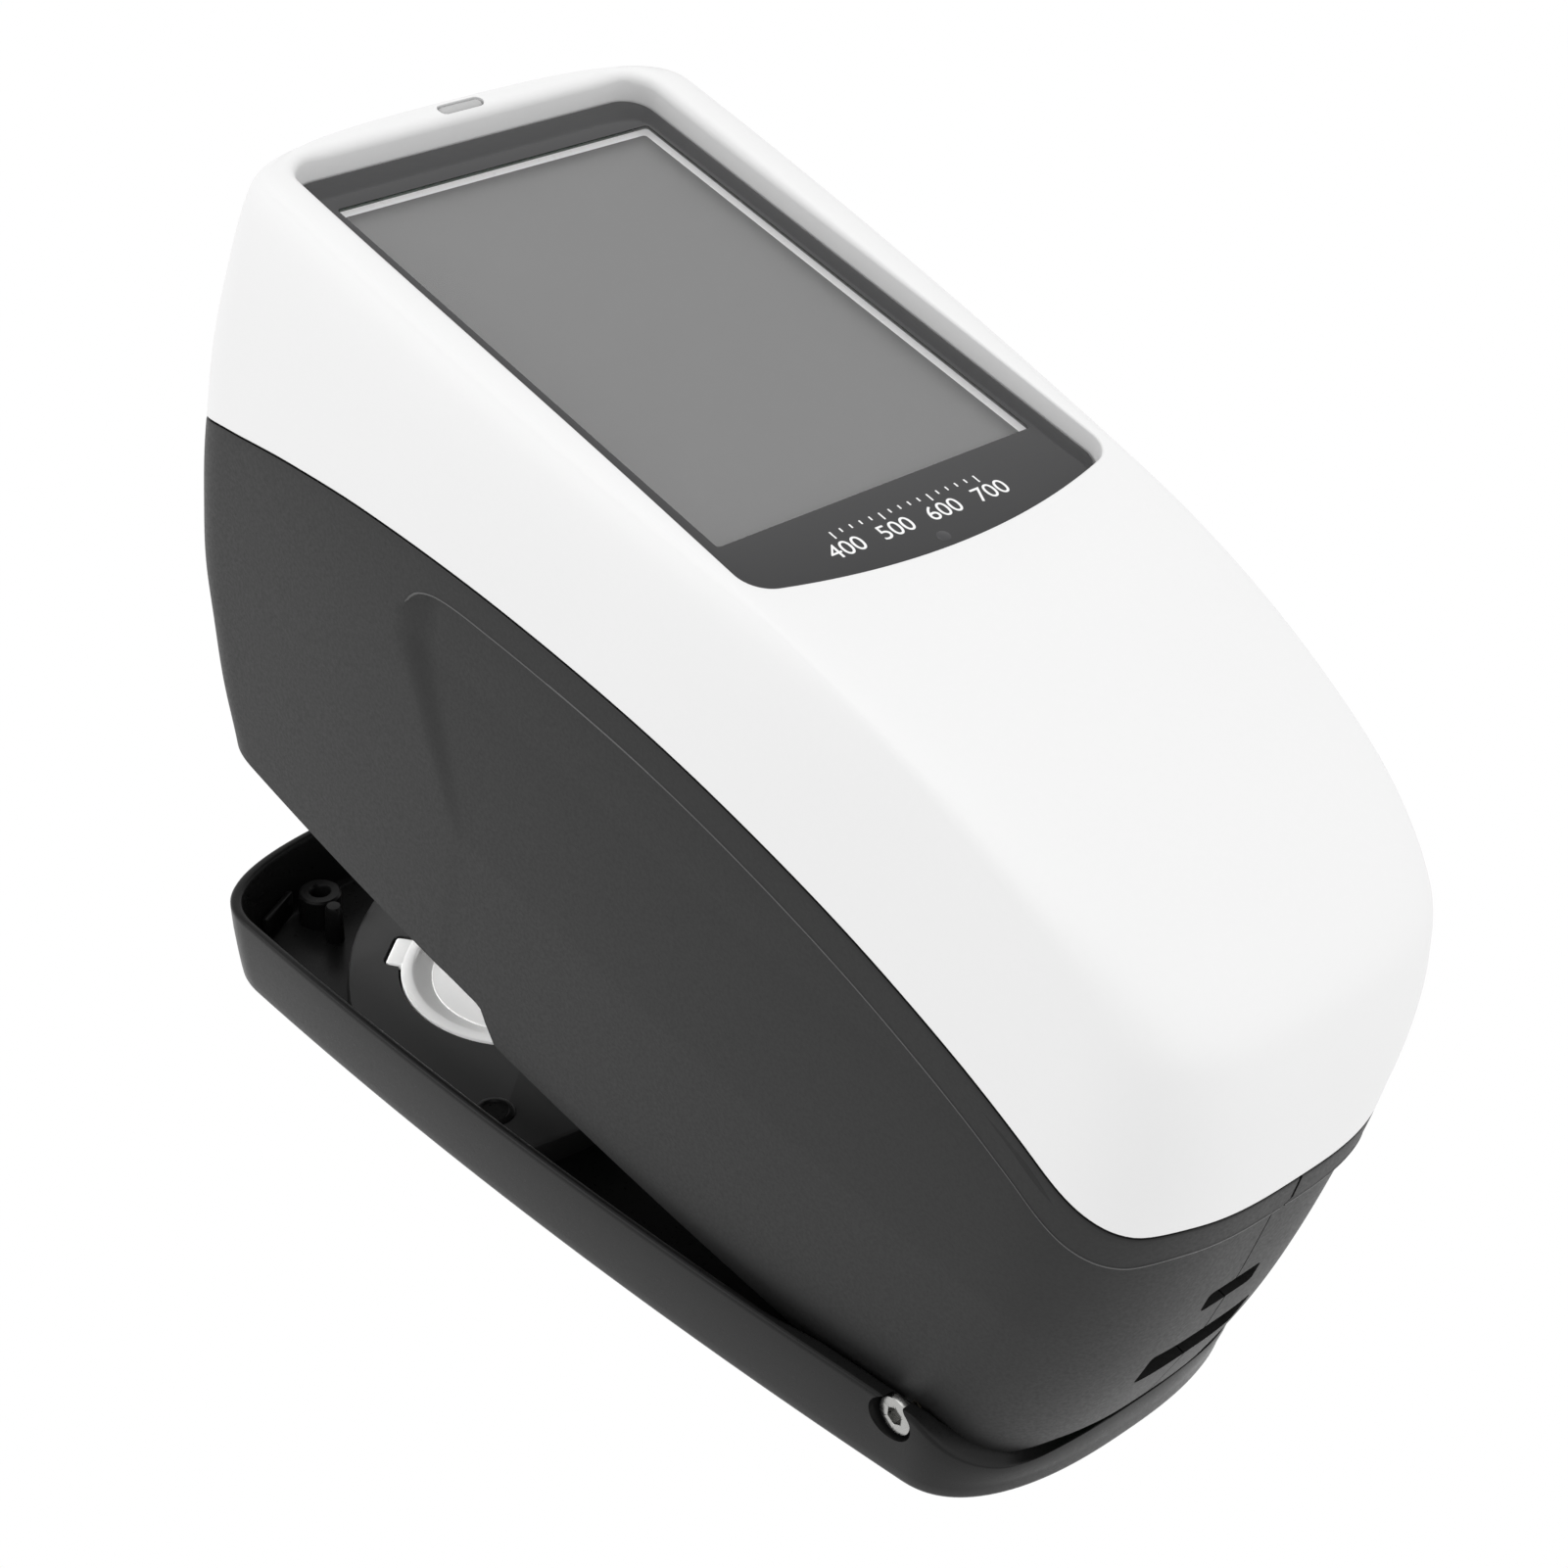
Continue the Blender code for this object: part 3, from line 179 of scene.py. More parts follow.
class InstrumentSizes(bpy.types.PropertyGroup):
    """Sizes of the dressing that can change without moving the frame."""
    shell_wall: FloatProperty(
        name="Shell wall", description="Thickness of the white and dark shells",
        default=1.8 * MM, min=0.5 * MM, unit="LENGTH")
    seam_gap: FloatProperty(
        name="Seam gap", description="Gap between the white cover and the side shells",
        default=0.3 * MM, min=0, unit="LENGTH")
    edge_round: FloatProperty(
        name="Edge round", description="Rounding of the shells' edges at the seams",
        default=0.3 * MM, min=0.05 * MM, unit="LENGTH")
    grip_depth: FloatProperty(
        name="Grip depth", description="Depth of the grip recess on the sides",
        default=0.9 * MM, min=0, unit="LENGTH")
    nose_grip_depth: FloatProperty(
        name="Nose grip depth", description="Depth of the recess round the nose",
        default=0.7 * MM, min=0, unit="LENGTH")
    split_jog: FloatProperty(
        name="Split jog", description="Sideways jog of the split over the grip",
        default=1.4 * MM, min=0, max=6 * MM, unit="LENGTH")
    display_drop: FloatProperty(
        name="Display drop", description="Depth of the display under the border",
        default=0.55 * MM, min=0, unit="LENGTH")


class InstrumentColours(bpy.types.PropertyGroup):
    """Main colours of the finishes, as sRGB."""
    cover: FloatVectorProperty(
        name="Cover", description="White of the top cover",
        default=(0.88,) * 3, subtype="COLOR_GAMMA", min=0, max=1)
    shell: FloatVectorProperty(
        name="Side shells", description="Charcoal of the side shells",
        default=(0.095,) * 3, subtype="COLOR_GAMMA", min=0, max=1)
    tray: FloatVectorProperty(
        name="Tray", description="Black of the tray",
        default=(0.09,) * 3, subtype="COLOR_GAMMA", min=0, max=1)
    display: FloatVectorProperty(
        name="Display", description="Grey of the unlit display",
        default=(0.415,) * 3, subtype="COLOR_GAMMA", min=0, max=1)


def linear(colour):
    """Turn an sRGB colour, given as hex digits or as three values, into a linear one."""
    if isinstance(colour, str):
        colour = [int(colour[index:index + 2], 16) / 255 for index in (0, 2, 4)]
    return [value / 12.92 if value <= 0.04045 else ((value + 0.055) / 1.055) ** 2.4 for value in colour]


def fill(node, inputs):
    """Give a node's inputs their values, or link them to other nodes' sockets."""
    for key, value in inputs.items():
        if isinstance(value, bpy.types.NodeSocket):
            node.id_data.links.new(value, node.inputs[key])
        else:
            node.inputs[key].default_value = value


def add_node(tree, kind, inputs, **settings):
    """Add one node, set its properties, fill its inputs and give back its first output."""
    made = tree.nodes.new(kind)
    for key, value in settings.items():
        setattr(made, key, value)
    fill(made, inputs)
    return made.outputs[0]


def new_finish(name):
    """Start a finish: its nodes, its shader, and the place on the piece for its noise."""
    material = bpy.data.materials.new(name)
    material.use_nodes = True
    tree = material.node_tree
    return tree, tree.nodes["Principled BSDF"], tree.nodes.new("ShaderNodeTexCoord").outputs["Object"]


def moulded(name, colour, grain_mm, mottle, roughness, bump, bump_mm=None, **sockets):
    """A finish with fine grain: colour mottle, roughness and bump from noise of a real size."""
    tree, shader, where = new_finish(name)
    colour = linear(colour)
    grain = add_node(tree, "ShaderNodeTexNoise", {
        "Vector": where, "Scale": 1000 / grain_mm, "Detail": 4.0, "Roughness": 0.6})
    cloud = add_node(tree, "ShaderNodeTexNoise", {"Vector": where, "Scale": 1000 / CLOUD_MM, "Detail": 2.0})
    both = add_node(tree, "ShaderNodeMath", {0: grain, 1: cloud}, operation="ADD")
    halved = add_node(tree, "ShaderNodeMath", {0: both, 1: 0.5}, operation="MULTIPLY")
    ramp = add_node(tree, "ShaderNodeValToRGB", {"Fac": halved})
    dark, light = ramp.node.color_ramp.elements
    dark.position = NOISE_LOW
    light.position = NOISE_HIGH
    dark.color = (*[value * (1 - mottle) for value in colour], 1)
    light.color = (*[min(1, value * (1 + mottle)) for value in colour], 1)
    rough = add_node(tree, "ShaderNodeMapRange", {
        "Value": grain, "From Min": NOISE_LOW, "From Max": NOISE_HIGH, "To Min": roughness[0],
        "To Max": roughness[1]})
    relief = add_node(tree, "ShaderNodeBump", {
        "Strength": bump, "Height": grain, "Distance": (bump_mm or grain_mm * 0.1) * MM})
    fill(shader, {"Base Color": ramp, "Roughness": rough, "Normal": relief})
    fill(shader, {key.replace("_", " "): value for key, value in sockets.items()})


def clear_glass(name):
    """Float glass over the display: colourless, polished, with a faint haze."""
    tree, shader, where = new_finish(name)
    smear = add_node(tree, "ShaderNodeTexNoise", {"Vector": where, "Scale": 90.0})
    rough = add_node(tree, "ShaderNodeMapRange", {"Value": smear, "To Min": 0.02, "To Max": 0.06})
    fill(shader, {"Base Color": (0.5, 0.5, 0.5, 1), "Roughness": rough, "Alpha": 0.07, "IOR": 1.5})


def smooth(keys, at):
    """Read a smooth curve through (place, value) keys that rise in place."""
    if at <= keys[0][0]:
        return keys[0][1]
    if at >= keys[-1][0]:
        return keys[-1][1]
    index = 0
    while keys[index + 1][0] < at:
        index += 1
    (left, low), (right, high) = keys[index], keys[index + 1]
    span = right - left

    def slope(middle):
        before = keys[max(middle - 1, 0)]
        after = keys[min(middle + 1, len(keys) - 1)]
        return (after[1] - before[1]) / (after[0] - before[0])

    t = (at - left) / span
    start = slope(index) * span
    end = slope(index + 1) * span
    bend = 3 * (high - low) - 2 * start - end
    twist = start + end - 2 * (high - low)
    return low + start * t + bend * t ** 2 + twist * t ** 3


def straight(keys, at):
    """Read straight lines through (place, value) keys."""
    if at <= keys[0][0]:
        return keys[0][1]
    for (left, low), (right, high) in zip(keys, keys[1:]):
        if at <= right:
            return low + (high - low) * (at - left) / (right - left)
    return keys[-1][1]


def mix(ends, share):
    """Value between two ends, at a share of the way."""
    return ends[0] + (ends[1] - ends[0]) * share


def step_up(value):
    value = min(1, max(0, value))
    return value * value * (3 - 2 * value)


def cover_top(y):
    """Height of the closed cover's top."""
    return TOP_AT_CHIN + TOP_SLOPE * (y - CHIN_Y)


def share_keys(outline):
    """Turn a side outline into keys of height share and place."""
    return [((z * MM - FOOT) / (cover_top(y * MM) - FOOT), y * MM) for y, z in outline]


BODY_HEIGHT = cover_top(0) - FOOT
NOSE_KEYS = share_keys(NOSE_OUTLINE)
FAR_KEYS = share_keys(FAR_OUTLINE)


def end_arc(share, squareness):
    """Point of a superellipse quarter, spread evenly: how far across, and how far along, as shares."""
    low, high = share ** 1.5, (1 - share) ** 1.5
    turn = pi / 2 * low / (low + high)
    return sin(turn) ** (2 / squareness), 1 - max(0, cos(turn)) ** (2 / squareness)


def plan_point(u, half_width, nose_y, far_y, nose_end, far_end):
    """Point of a plan outline's right half, from the nose's middle (0) to the far end's middle (1)."""
    nose_depth, far_depth = nose_end[0] * MM, far_end[0] * MM
    if u < END_SHARE:
        across, along = end_arc(u / END_SHARE, nose_end[1])
        y = nose_y + nose_depth * along
    elif u > 1 - END_SHARE:
        across, along = end_arc((1 - u) / END_SHARE, far_end[1])
        y = far_y - far_depth * along
    else:
        across = 1
        y = mix((nose_y + nose_depth, far_y - far_depth), (u - END_SHARE) / (1 - 2 * END_SHARE))
    x = half_width * across
    return x * (1 - SIDE_TAPER * (y - WIDEST_Y) ** 2 / half_width), y


def body_point(u, share, inset=0.0):
    """Point of the closed body's skin at a share of its height."""
    nose_y = smooth(NOSE_KEYS, share) + inset
    far_y = smooth(FAR_KEYS, share) - inset
    half_width = FOOT_HALF_WIDTH + smooth(SECTIONS, share) * MM - inset
    upper = max(0, (share - UPPER_START) / (1 - UPPER_START))
    nose_end = [mix(ends, upper) for ends in zip(*NOSE_ENDS)]
    far_end = [mix(ends, upper) for ends in zip(*FAR_ENDS)]
    x, y = plan_point(u, half_width, nose_y, far_y, nose_end, far_end)
    return Vector((x, y, FOOT + share * (cover_top(y) - FOOT)))


def share_at(u, line, lift=0.0):
    """Height share at which the skin meets a side-view line, a function of y in millimetres."""
    share = 0.5
    for _ in range(14):
        y = body_point(u, share).y
        height = line(y / MM) * MM + lift
        share = min(1, max(0, (height - FOOT) / (cover_top(y) - FOOT)))
    return share


def opened(point):
    """Turn a point of the closed body to where it rests, open."""
    return Matrix.Rotation(OPEN_ANGLE, 3, "X") @ (Vector(point) - PIVOT) + PIVOT


def on_screen(x, y, over):
    """Point over the tilted screen plane, in the body's open place."""
    turned = Matrix.Rotation(SCREEN_TILT, 3, "X") @ Vector((x, y - SCREEN.y, over))
    return opened(SCREEN + turned)


def mirrored(w):
    """Split a full turn into a half-outline place and a side."""
    return (2 * w, 1) if w <= 0.5 else (2 - 2 * w, -1)


def deselect():
    for item in bpy.context.selected_objects:
        item.select_set(False)


def make_active(piece):
    deselect()
    piece.select_set(True)
    bpy.context.view_layer.objects.active = piece


def shaped_grid(name, columns, rows, place, inward=None):
    """Add a grid, shape it by its two places, and close and turn its faces outwards."""
    deselect()
    bpy.ops.mesh.primitive_grid_add(x_subdivisions=columns, y_subdivisions=rows, size=1)
    piece = bpy.context.object
    piece.name = name
    piece.data.name = name
    for vertex in piece.data.vertices:
        vertex.co = place(vertex.co.x + 0.5, vertex.co.y + 0.5)
    bpy.ops.object.mode_set(mode="EDIT")
    bpy.ops.mesh.select_all(action="SELECT")
    bpy.ops.mesh.remove_doubles(threshold=MERGE_REACH)
    bpy.ops.mesh.dissolve_degenerate(threshold=THINNEST_FACE)
    bpy.ops.mesh.select_all(action="SELECT")
    bpy.ops.mesh.normals_make_consistent(inside=False)
    bpy.ops.object.mode_set(mode="OBJECT")
    if inward is not None and faces_inward(piece, inward):
        bpy.ops.object.mode_set(mode="EDIT")
        bpy.ops.mesh.select_all(action="SELECT")
        bpy.ops.mesh.flip_normals()
        bpy.ops.object.mode_set(mode="OBJECT")
    return piece


def faces_inward(piece, middle):
    total = 0.0
    for face in piece.data.polygons:
        total += face.normal.dot((face.center - middle).normalized()) * face.area
    return total < 0


def use_modifier(piece, kind, **settings):
    """Add a modifier, set it and apply it."""
    make_active(piece)
    modifier = piece.modifiers.new(kind.lower(), kind)
    for key, value in settings.items():
        setattr(modifier, key, value)
    bpy.ops.object.modifier_apply(modifier=modifier.name)


def cut_away(piece, cutter):
    use_modifier(piece, "BOOLEAN", object=cutter, operation="DIFFERENCE", solver="MANIFOLD")
    bpy.data.objects.remove(cutter)


def finish_piece(piece, finish, body, angle, replaces=()):
    """Smooth a piece, give it the finish of that name and let it ride."""
    make_active(piece)
    bpy.ops.object.shade_smooth_by_angle(angle=radians(angle))
    piece.data.materials.clear()
    piece.data.materials.append(bpy.data.materials[finish])
    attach(piece, body)
    if replaces:
        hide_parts(*replaces)


def join_pieces(first, others):
    make_active(first)
    for item in others:
        item.select_set(True)
    bpy.ops.object.join()


def block(name, size, place, turn=0.0, bevel=0.3 * MM, to_body=True):
    """A bevelled block with its place in its mesh, turned open with the body if it belongs to it."""
    deselect()
    bpy.ops.mesh.primitive_cube_add(size=1)
    piece = bpy.context.object
    piece.name = name
    piece.scale = size
    bpy.ops.object.transform_apply(location=True, rotation=True, scale=True)
    use_modifier(piece, "BEVEL", width=bevel, segments=3, limit_method="ANGLE")
    for vertex in piece.data.vertices:
        point = Matrix.Rotation(turn, 3, "Z") @ vertex.co + Vector(place)
        vertex.co = opened(point) if to_body else point
    return piece


def lathe(name, profile, place, columns=96, hexagon=()):
    """Turn a (radius, height) profile in millimetres about Z; rows in hexagon are six-sided."""
    last = len(profile) - 1

    def put(w, v):
        row = round(v * last)
        radius, height = profile[row][0] * MM, profile[row][1] * MM
        turn = tau * w
        if row in hexagon:
            radius = radius / cos((turn + pi / 6) % (pi / 3) - pi / 6)
        return Vector((radius * cos(turn), radius * sin(turn), height)) + Vector(place)

    return shaped_grid(name, columns, last, put)


def along_hinge(piece, side):
    """Lay a piece that was turned about Z along the hinge's axis, outwards on one side."""
    for vertex in piece.data.vertices:
        vertex.co = Vector((side * vertex.co.z, PIVOT.y + vertex.co.x, PIVOT.z + side * vertex.co.y))


def lug_place(height):
    """Middle of the target ring's lug, at a height over the bench."""
    return TARGET.x + cos(LUG_ANGLE) * LUG_REACH, TARGET.y + sin(LUG_ANGLE) * LUG_REACH, height


def outline_point(u, half, low, high, corner, sag):
    """Rounded rectangle's right half, from the middle of its low edge to the middle of its high edge.

    Half the low and high edges take a fifth of the way each, the corners a tenth, the side the rest.
    """
    inner = half - corner
    lean = atan(2 * sag * inner / half ** 2)
    low_x = inner + corner * sin(lean)
    low_end = low + sag * (low_x / half) ** 2
    centre = low_end + corner * cos(lean)
    if u < 0.2:
        x = low_x * u / 0.2
        return x, low + sag * (x / half) ** 2
    if u < 0.3:
        turn = (lean - pi / 2) * (0.3 - u) / 0.1
        return inner + corner * cos(turn), centre + corner * sin(turn)
    if u < 0.7:
        return half, centre + (high - corner - centre) * (u - 0.3) / 0.4
    if u < 0.8:
        turn = pi / 2 * (u - 0.7) / 0.1
        return inner + corner * cos(turn), high - corner * (1 - sin(turn))
    return inner * (1 - u) / 0.2, high


def glass_point(u, margin=0.0):
    return outline_point(u, GLASS_HALF_WIDTH + margin, GLASS_CHIN_Y - margin, GLASS_FAR_Y + margin,
                         GLASS_CORNER + margin, GLASS_SAG)


def window_point(u, margin=0.0):
    half_length = WINDOW_LENGTH / 2 + margin
    return outline_point(u, WINDOW_HALF_WIDTH + margin, SCREEN.y - half_length, SCREEN.y + half_length,
                         WINDOW_CORNER, 0.0)


def window_sheet(name, rows):
    """A closed sheet at the window, from rows of (margin in mm, share to the middle, height in mm)."""
    last = len(rows) - 1

    def put(w, v):
        u, side = mirrored(w)
        margin, to_middle, over = rows[round(v * last)]
        x, y = window_point(u, margin * MM)
        return on_screen(side * x * (1 - to_middle), y + (SCREEN.y - y) * to_middle, over * MM)

    return shaped_grid(name, 120, last, put)


def nearest_on_glass(x, y, margin):
    """Place along the pocket's outline that lies closest to a point outside it."""

    def away(u):
        px, py = glass_point(u, margin)
        return (px - x) ** 2 + (py - y) ** 2

    steps = 160
    best = min(range(steps + 1), key=lambda index: away(index / steps)) / steps
    reach = 1 / steps
    while reach > 0.00002:
        best = min((max(0, best - reach), best, min(1, best + reach)), key=away)
        reach *= 0.7
    return best


def seam_height(y):
    return smooth(SEAM, y)


def foot_height(y):
    return straight(FOOT_LINE, y)


def grip_height(y):
    return seam_height(y) - smooth(GRIP_OFFSET, y)


def grip_depth(y, z, sizes):
    """How far the skin is sunk at a point under the grip line: deep at the nose, fading at its far edge."""
    drop = straight(GRIP_DROP, z)
    edge = mix(GRIP_EDGE_Y, drop)
    fade = mix(GRIP_EDGE_FADE, drop)
    nose = step_up((GRIP_NOSE[0] - y) / GRIP_NOSE[1])
    depth = sizes.grip_depth * (1 - nose) * (1 - GRIP_LOSS * drop) + sizes.nose_grip_depth * nose
    return depth * min(1, max(0, (edge - y) / fade))


class INSTRUMENT_OT_white_cover(bpy.types.Operator):
    """Model the white cover from its seam, over the shoulders, to the screen pocket"""
    bl_idname = "instrument.white_cover"
    bl_label = "White cover"

    def execute(self, context):
        sizes = context.scene.instrument_sizes
        rounding = sizes.edge_round
        edge_rows = len(EDGE_ROWS)
        skin_rows = 46
        crowding = 2.2
        # Rows of the pocket's rounded edge, as shares of its radius, and the row at the glass
        pocket = ((1, 0), (0.62, 0.08), (0.3, 0.29), (0.08, 0.62), (0, 1), (0, None))
        # Radius of that edge at the chin and at the far end
        radii = (0.35 * MM, 1.6 * MM)
        rows = edge_rows + skin_rows + len(pocket)
        known = {}

        def put(w, v):
            u, side = mirrored(w)
            u = round(u, 6)
            row = round(v * rows)
            # At the nose's middle the skin ends just under its top, where its rows would meet
            end = 1 - 0.004 * (1 - step_up((u - 0.1) / 0.2))
            if u not in known:
                last = body_point(u, end)
                beside = nearest_on_glass(last.x, last.y, POCKET_GAP)
                x, y = glass_point(beside, POCKET_GAP)
                widest = mix(radii, step_up((u - 0.35) / 0.35))
                known[u] = (share_at(u, seam_height, sizes.seam_gap / 2), beside,
                            min(widest, 0.72 * hypot(last.x - x, last.y - y)))
            start, beside, radius = known[u]
            if row < edge_rows:
                rise, inset = EDGE_ROWS[row]
                point = body_point(u, start + rise * rounding / BODY_HEIGHT, inset * rounding)
            elif row <= edge_rows + skin_rows:
                t = (row - edge_rows) / skin_rows
                first = start + rounding / BODY_HEIGHT
                point = body_point(u, first + (end - first) * (1 - (1 - t) ** crowding))
            else:
                margin, sunk = pocket[row - edge_rows - skin_rows - 1]
                x, y = glass_point(beside, margin * radius + POCKET_GAP)
                if sunk is None:
                    return on_screen(side * x, y, -0.2 * MM)
                point = Vector((x, y, cover_top(y) - sunk * radius))
            return opened((side * point.x, point.y, point.z))

        piece = shaped_grid("white_cover", 300, rows, put, inward=opened((0, 10 * MM, 70 * MM)))
        use_modifier(piece, "SOLIDIFY", thickness=sizes.shell_wall, offset=-1.0)
        hole = (*[size + LIGHT_GAP for size in LIGHT_SIZE], 12 * MM)
        cut_away(piece, block("light_window_cutter", hole, (0, LIGHT_Y, cover_top(LIGHT_Y)),
                              bevel=0.9 * MM))
        finish_piece(piece, "satin_white_abs", "instrument", 50, ["top_cover"])
        return {"FINISHED"}


class INSTRUMENT_OT_side_shells(bpy.types.Operator):
    """Model the two side shells with the grip recess and the nose slots"""
    bl_idname = "instrument.side_shells"
    bl_label = "Side shells"

    def execute(self, context):
        sizes = context.scene.instrument_sizes
        for side, hand in ((-1, "left"), (1, "right")):
            self.shell(sizes, side, hand)
        return {"FINISHED"}

    def jogged(self, x, side, sizes):
        """Over the grip line the split stands to one side: the left shell reaches past the middle."""
        far = 8 * MM
        start = sizes.split_jog if side > 0 else -sizes.split_jog + sizes.seam_gap
        return x if x >= far else start + (far - start) * x / far

    def shell(self, sizes, side, hand):
        rounding = sizes.edge_round
        low_rows, step_rows, top_rows = 64, 3, 6
        rows = low_rows + step_rows + top_rows + len(EDGE_ROWS)
        known = {}

        def put(u, v):
            row = round(v * rows)
            if u not in known:
                known[u] = (share_at(u, foot_height), share_at(u, grip_height),
                            share_at(u, seam_height, -sizes.seam_gap / 2))
            foot, grip, seam = known[u]
            sunk_to = grip - GRIP_STEP / BODY_HEIGHT
            inset = 0.0
            if row <= low_rows:
                share = foot + (sunk_to - foot) * row / low_rows
                depth = 1.0
            elif row <= low_rows + step_rows:
                t = (row - low_rows) / step_rows
                share = sunk_to + (grip - sunk_to) * t
                depth = 1 - t
            else:
                t = min(1, (row - low_rows - step_rows) / top_rows)
                share = grip + (seam - rounding / BODY_HEIGHT - grip) * t
                depth = 0.0
                past = row - low_rows - step_rows - top_rows
                if past > 0:
                    rise, inset = EDGE_ROWS[-past]
                    share = seam - rise * rounding / BODY_HEIGHT
                    inset *= rounding
            if depth:
                point = body_point(u, share)
                inset = depth * grip_depth(point.y / MM, point.z / MM, sizes)
            point = body_point(u, share, inset)
            point.x = max(point.x, sizes.seam_gap / 3)
            if row > low_rows + step_rows:
                point.x = self.jogged(point.x, side, sizes)
            return opened((side * point.x, point.y, point.z))

        piece = shaped_grid(hand + "_shell", 300, rows, put, inward=opened((0, 0, 40 * MM)))
        use_modifier(piece, "SOLIDIFY", thickness=sizes.shell_wall, offset=-1.0)
        for width, z, tall in (SOCKET_SLOT, STRAP_SLOT):
            cut_away(piece, block("slot_cutter", (width * MM, SLOT_DEPTH, tall * MM), (0, SLOT_Y, z * MM),
                                  bevel=0.8 * MM))
        finish_piece(piece, "spark_eroded_charcoal_abs", "instrument", 40,
                     [hand + "_side_shell"])
        self.step_edge(side, hand)

    def step_edge(self, side, hand):
        """A lighter bead along the step's edge, a painted highlight, from the recess's far corner to the
        split at the nose.
        """
        # (height over the grip line, inset) of the bead's rows, in millimetres
        rows = ((-0.3, 0.12), (-0.14, -0.05), (0.0, -0.07), (0.1, 0.06))
        start, length = 0.004, 0.584

        def put(w, v):
            u = start + length * w
            up, inset = rows[round(v * 3)]
            point = body_point(u, share_at(u, grip_height) + up * MM / BODY_HEIGHT, inset * MM)
            return opened((side * point.x, point.y, point.z))

        finish_piece(shaped_grid(hand + "_step_edge", 300, 3, put, inward=opened((0, 0, 40 * MM))),
                     "charcoal_abs_painted_highlight", "instrument", 60)


class INSTRUMENT_OT_screen(bpy.types.Operator):
    """Model the bordered glass, the display under it, the scale marks and the sensor dot"""
    bl_idname = "instrument.screen"
    bl_label = "Screen"

    def execute(self, context):
        self.border()
        self.display(context.scene.instrument_sizes)
        self.marks()
        return {"FINISHED"}

    def border(self):
        rim = ((0, 0), (0, 0.8), (-0.12, 1.02), (-0.35, 1.1))
        inner = ((0.1, 1.1), (0, 1.09), (0, 1.05), (2.2, 0.3), (2.4, 0))
        rows = len(rim) + len(inner)

        def put(w, v):
            u, side = mirrored(w)
            row = round(v * rows) % rows
            if row < len(rim):
                margin, over = rim[row]
                x, y = glass_point(u, margin * MM)
            else:
                margin, over = inner[row - len(rim)]
                x, y = window_point(u, margin * MM)
            return on_screen(side * x, y, over * MM)

        piece = shaped_grid("screen_border", 240, rows, put)
        finish_piece(piece, "printed_border_glass", "instrument", 30, ["touch_glass"])
        inside = -0.05
        pane = ((inside, 1, 0.88), (inside, 0, 0.88), (inside, 0, 1.0), (inside, 1, 1.0))
        finish_piece(window_sheet("window_pane", pane), "float_glass", "instrument", 30)

    def display(self, sizes):
        drop = -sizes.display_drop / MM
        back, low, face = drop - 2.4, drop + 0.02, drop + 0.14
        wide = 1.6
        rows = ((wide, 1, back), (wide, 0, back), (wide, 0, drop - 0.15), (1.45, 0, drop), (wide, 1, drop))
        # The frame's faint glow is painted light, not a lamp
        finish_piece(window_sheet("display_frame", rows), "display_frame_painted_glow", "instrument", 30,
                     ["display_panel"])
        rows = ((0, 1, low), (0, 0, low), (0, 0, drop + 0.12), (0, 0.01, face), (0, 1, face))
        finish_piece(window_sheet("display_face", rows), "unlit_display", "instrument", 30)

    def marks(self):
        """A plain wavelength scale on the chin, and the round sensor window under it."""
        number_y, tick_top, tick_width = -8.6 * MM, -4.3 * MM, 0.22 * MM
        sensor_x, sensor_y = 0.3 * MM, -11.2 * MM
        pieces = []
        for index, label in enumerate(("400", "500", "600", "700")):
            x = (index - 1.5) * MARK_PITCH
            deselect()
            bpy.ops.object.text_add()
            text = bpy.context.object
            text.data.body = label
            text.data.align_x = "CENTER"
            text.data.size = 3.5 * MM
            text.data.extrude = MARK_INK / 2
            bpy.ops.object.convert(target="MESH")
            number = bpy.context.object
            for vertex in number.data.vertices:
                vertex.co = on_screen(vertex.co.x + x, vertex.co.y + number_y,
                                      GLASS_THICKNESS + vertex.co.z + 0.6 * MARK_INK)
            pieces.append(number)
        for index in range(16):
            x = (index / 5 - 1.5) * MARK_PITCH
            length = (1.3 if index % 5 == 0 else 0.7) * MM
            deselect()
            bpy.ops.mesh.primitive_cube_add(size=1)
            tick = bpy.context.object
            for vertex in tick.data.vertices:
                vertex.co = on_screen(x + vertex.co.x * tick_width,
                                      tick_top - length / 2 + vertex.co.y * length,
                                      GLASS_THICKNESS + (vertex.co.z + 0.6) * MARK_INK)
            pieces.append(tick)
        scale = pieces[0]
        join_pieces(scale, pieces[1:])
        scale.name = "wavelength_scale"
        finish_piece(scale, "white_screen_print", "instrument", 30)
        rows = ((0, 0.0), (0.85, 0.0), (0.9, 0.015), (0.85, 0.03), (0, 0.03))

        def put(w, v):
            radius, over = rows[round(v * 4)]
            x, y = sensor_x + radius * MM * cos(tau * w), sensor_y + radius * MM * sin(tau * w)
            return on_screen(x, y, GLASS_THICKNESS + over * MM)

        sensor = shaped_grid("light_sensor", 32, 4, put)
        finish_piece(sensor, "smoked_sensor_window", "instrument", 30)


class INSTRUMENT_OT_status_light(bpy.types.Operator):
    """Model the small light window in the far rim"""
    bl_idname = "instrument.status_light"
    bl_label = "Status light"

    def execute(self, context):
        low, high = cover_top(LIGHT_Y) - 4 * MM, cover_top(LIGHT_Y) + 0.05 * MM
        piece = block("light_window", (*LIGHT_SIZE, high - low), (0, LIGHT_Y, (low + high) / 2),
                      bevel=0.88 * MM)
        finish_piece(piece, "frosted_light_pipe", "instrument", 60, ["status_light"])
        return {"FINISHED"}


def tray_half_width(y):
    return BASE_WIDTH / 2 - SIDE_TAPER * (y - WIDEST_Y) ** 2


def tray_point(u, inset=0.0):
    half_length = BASE_LENGTH / 2 - inset
    return plan_point(u, BASE_WIDTH / 2 - inset, -half_length, half_length, BASE_FRONT_END, BASE_FAR_END)


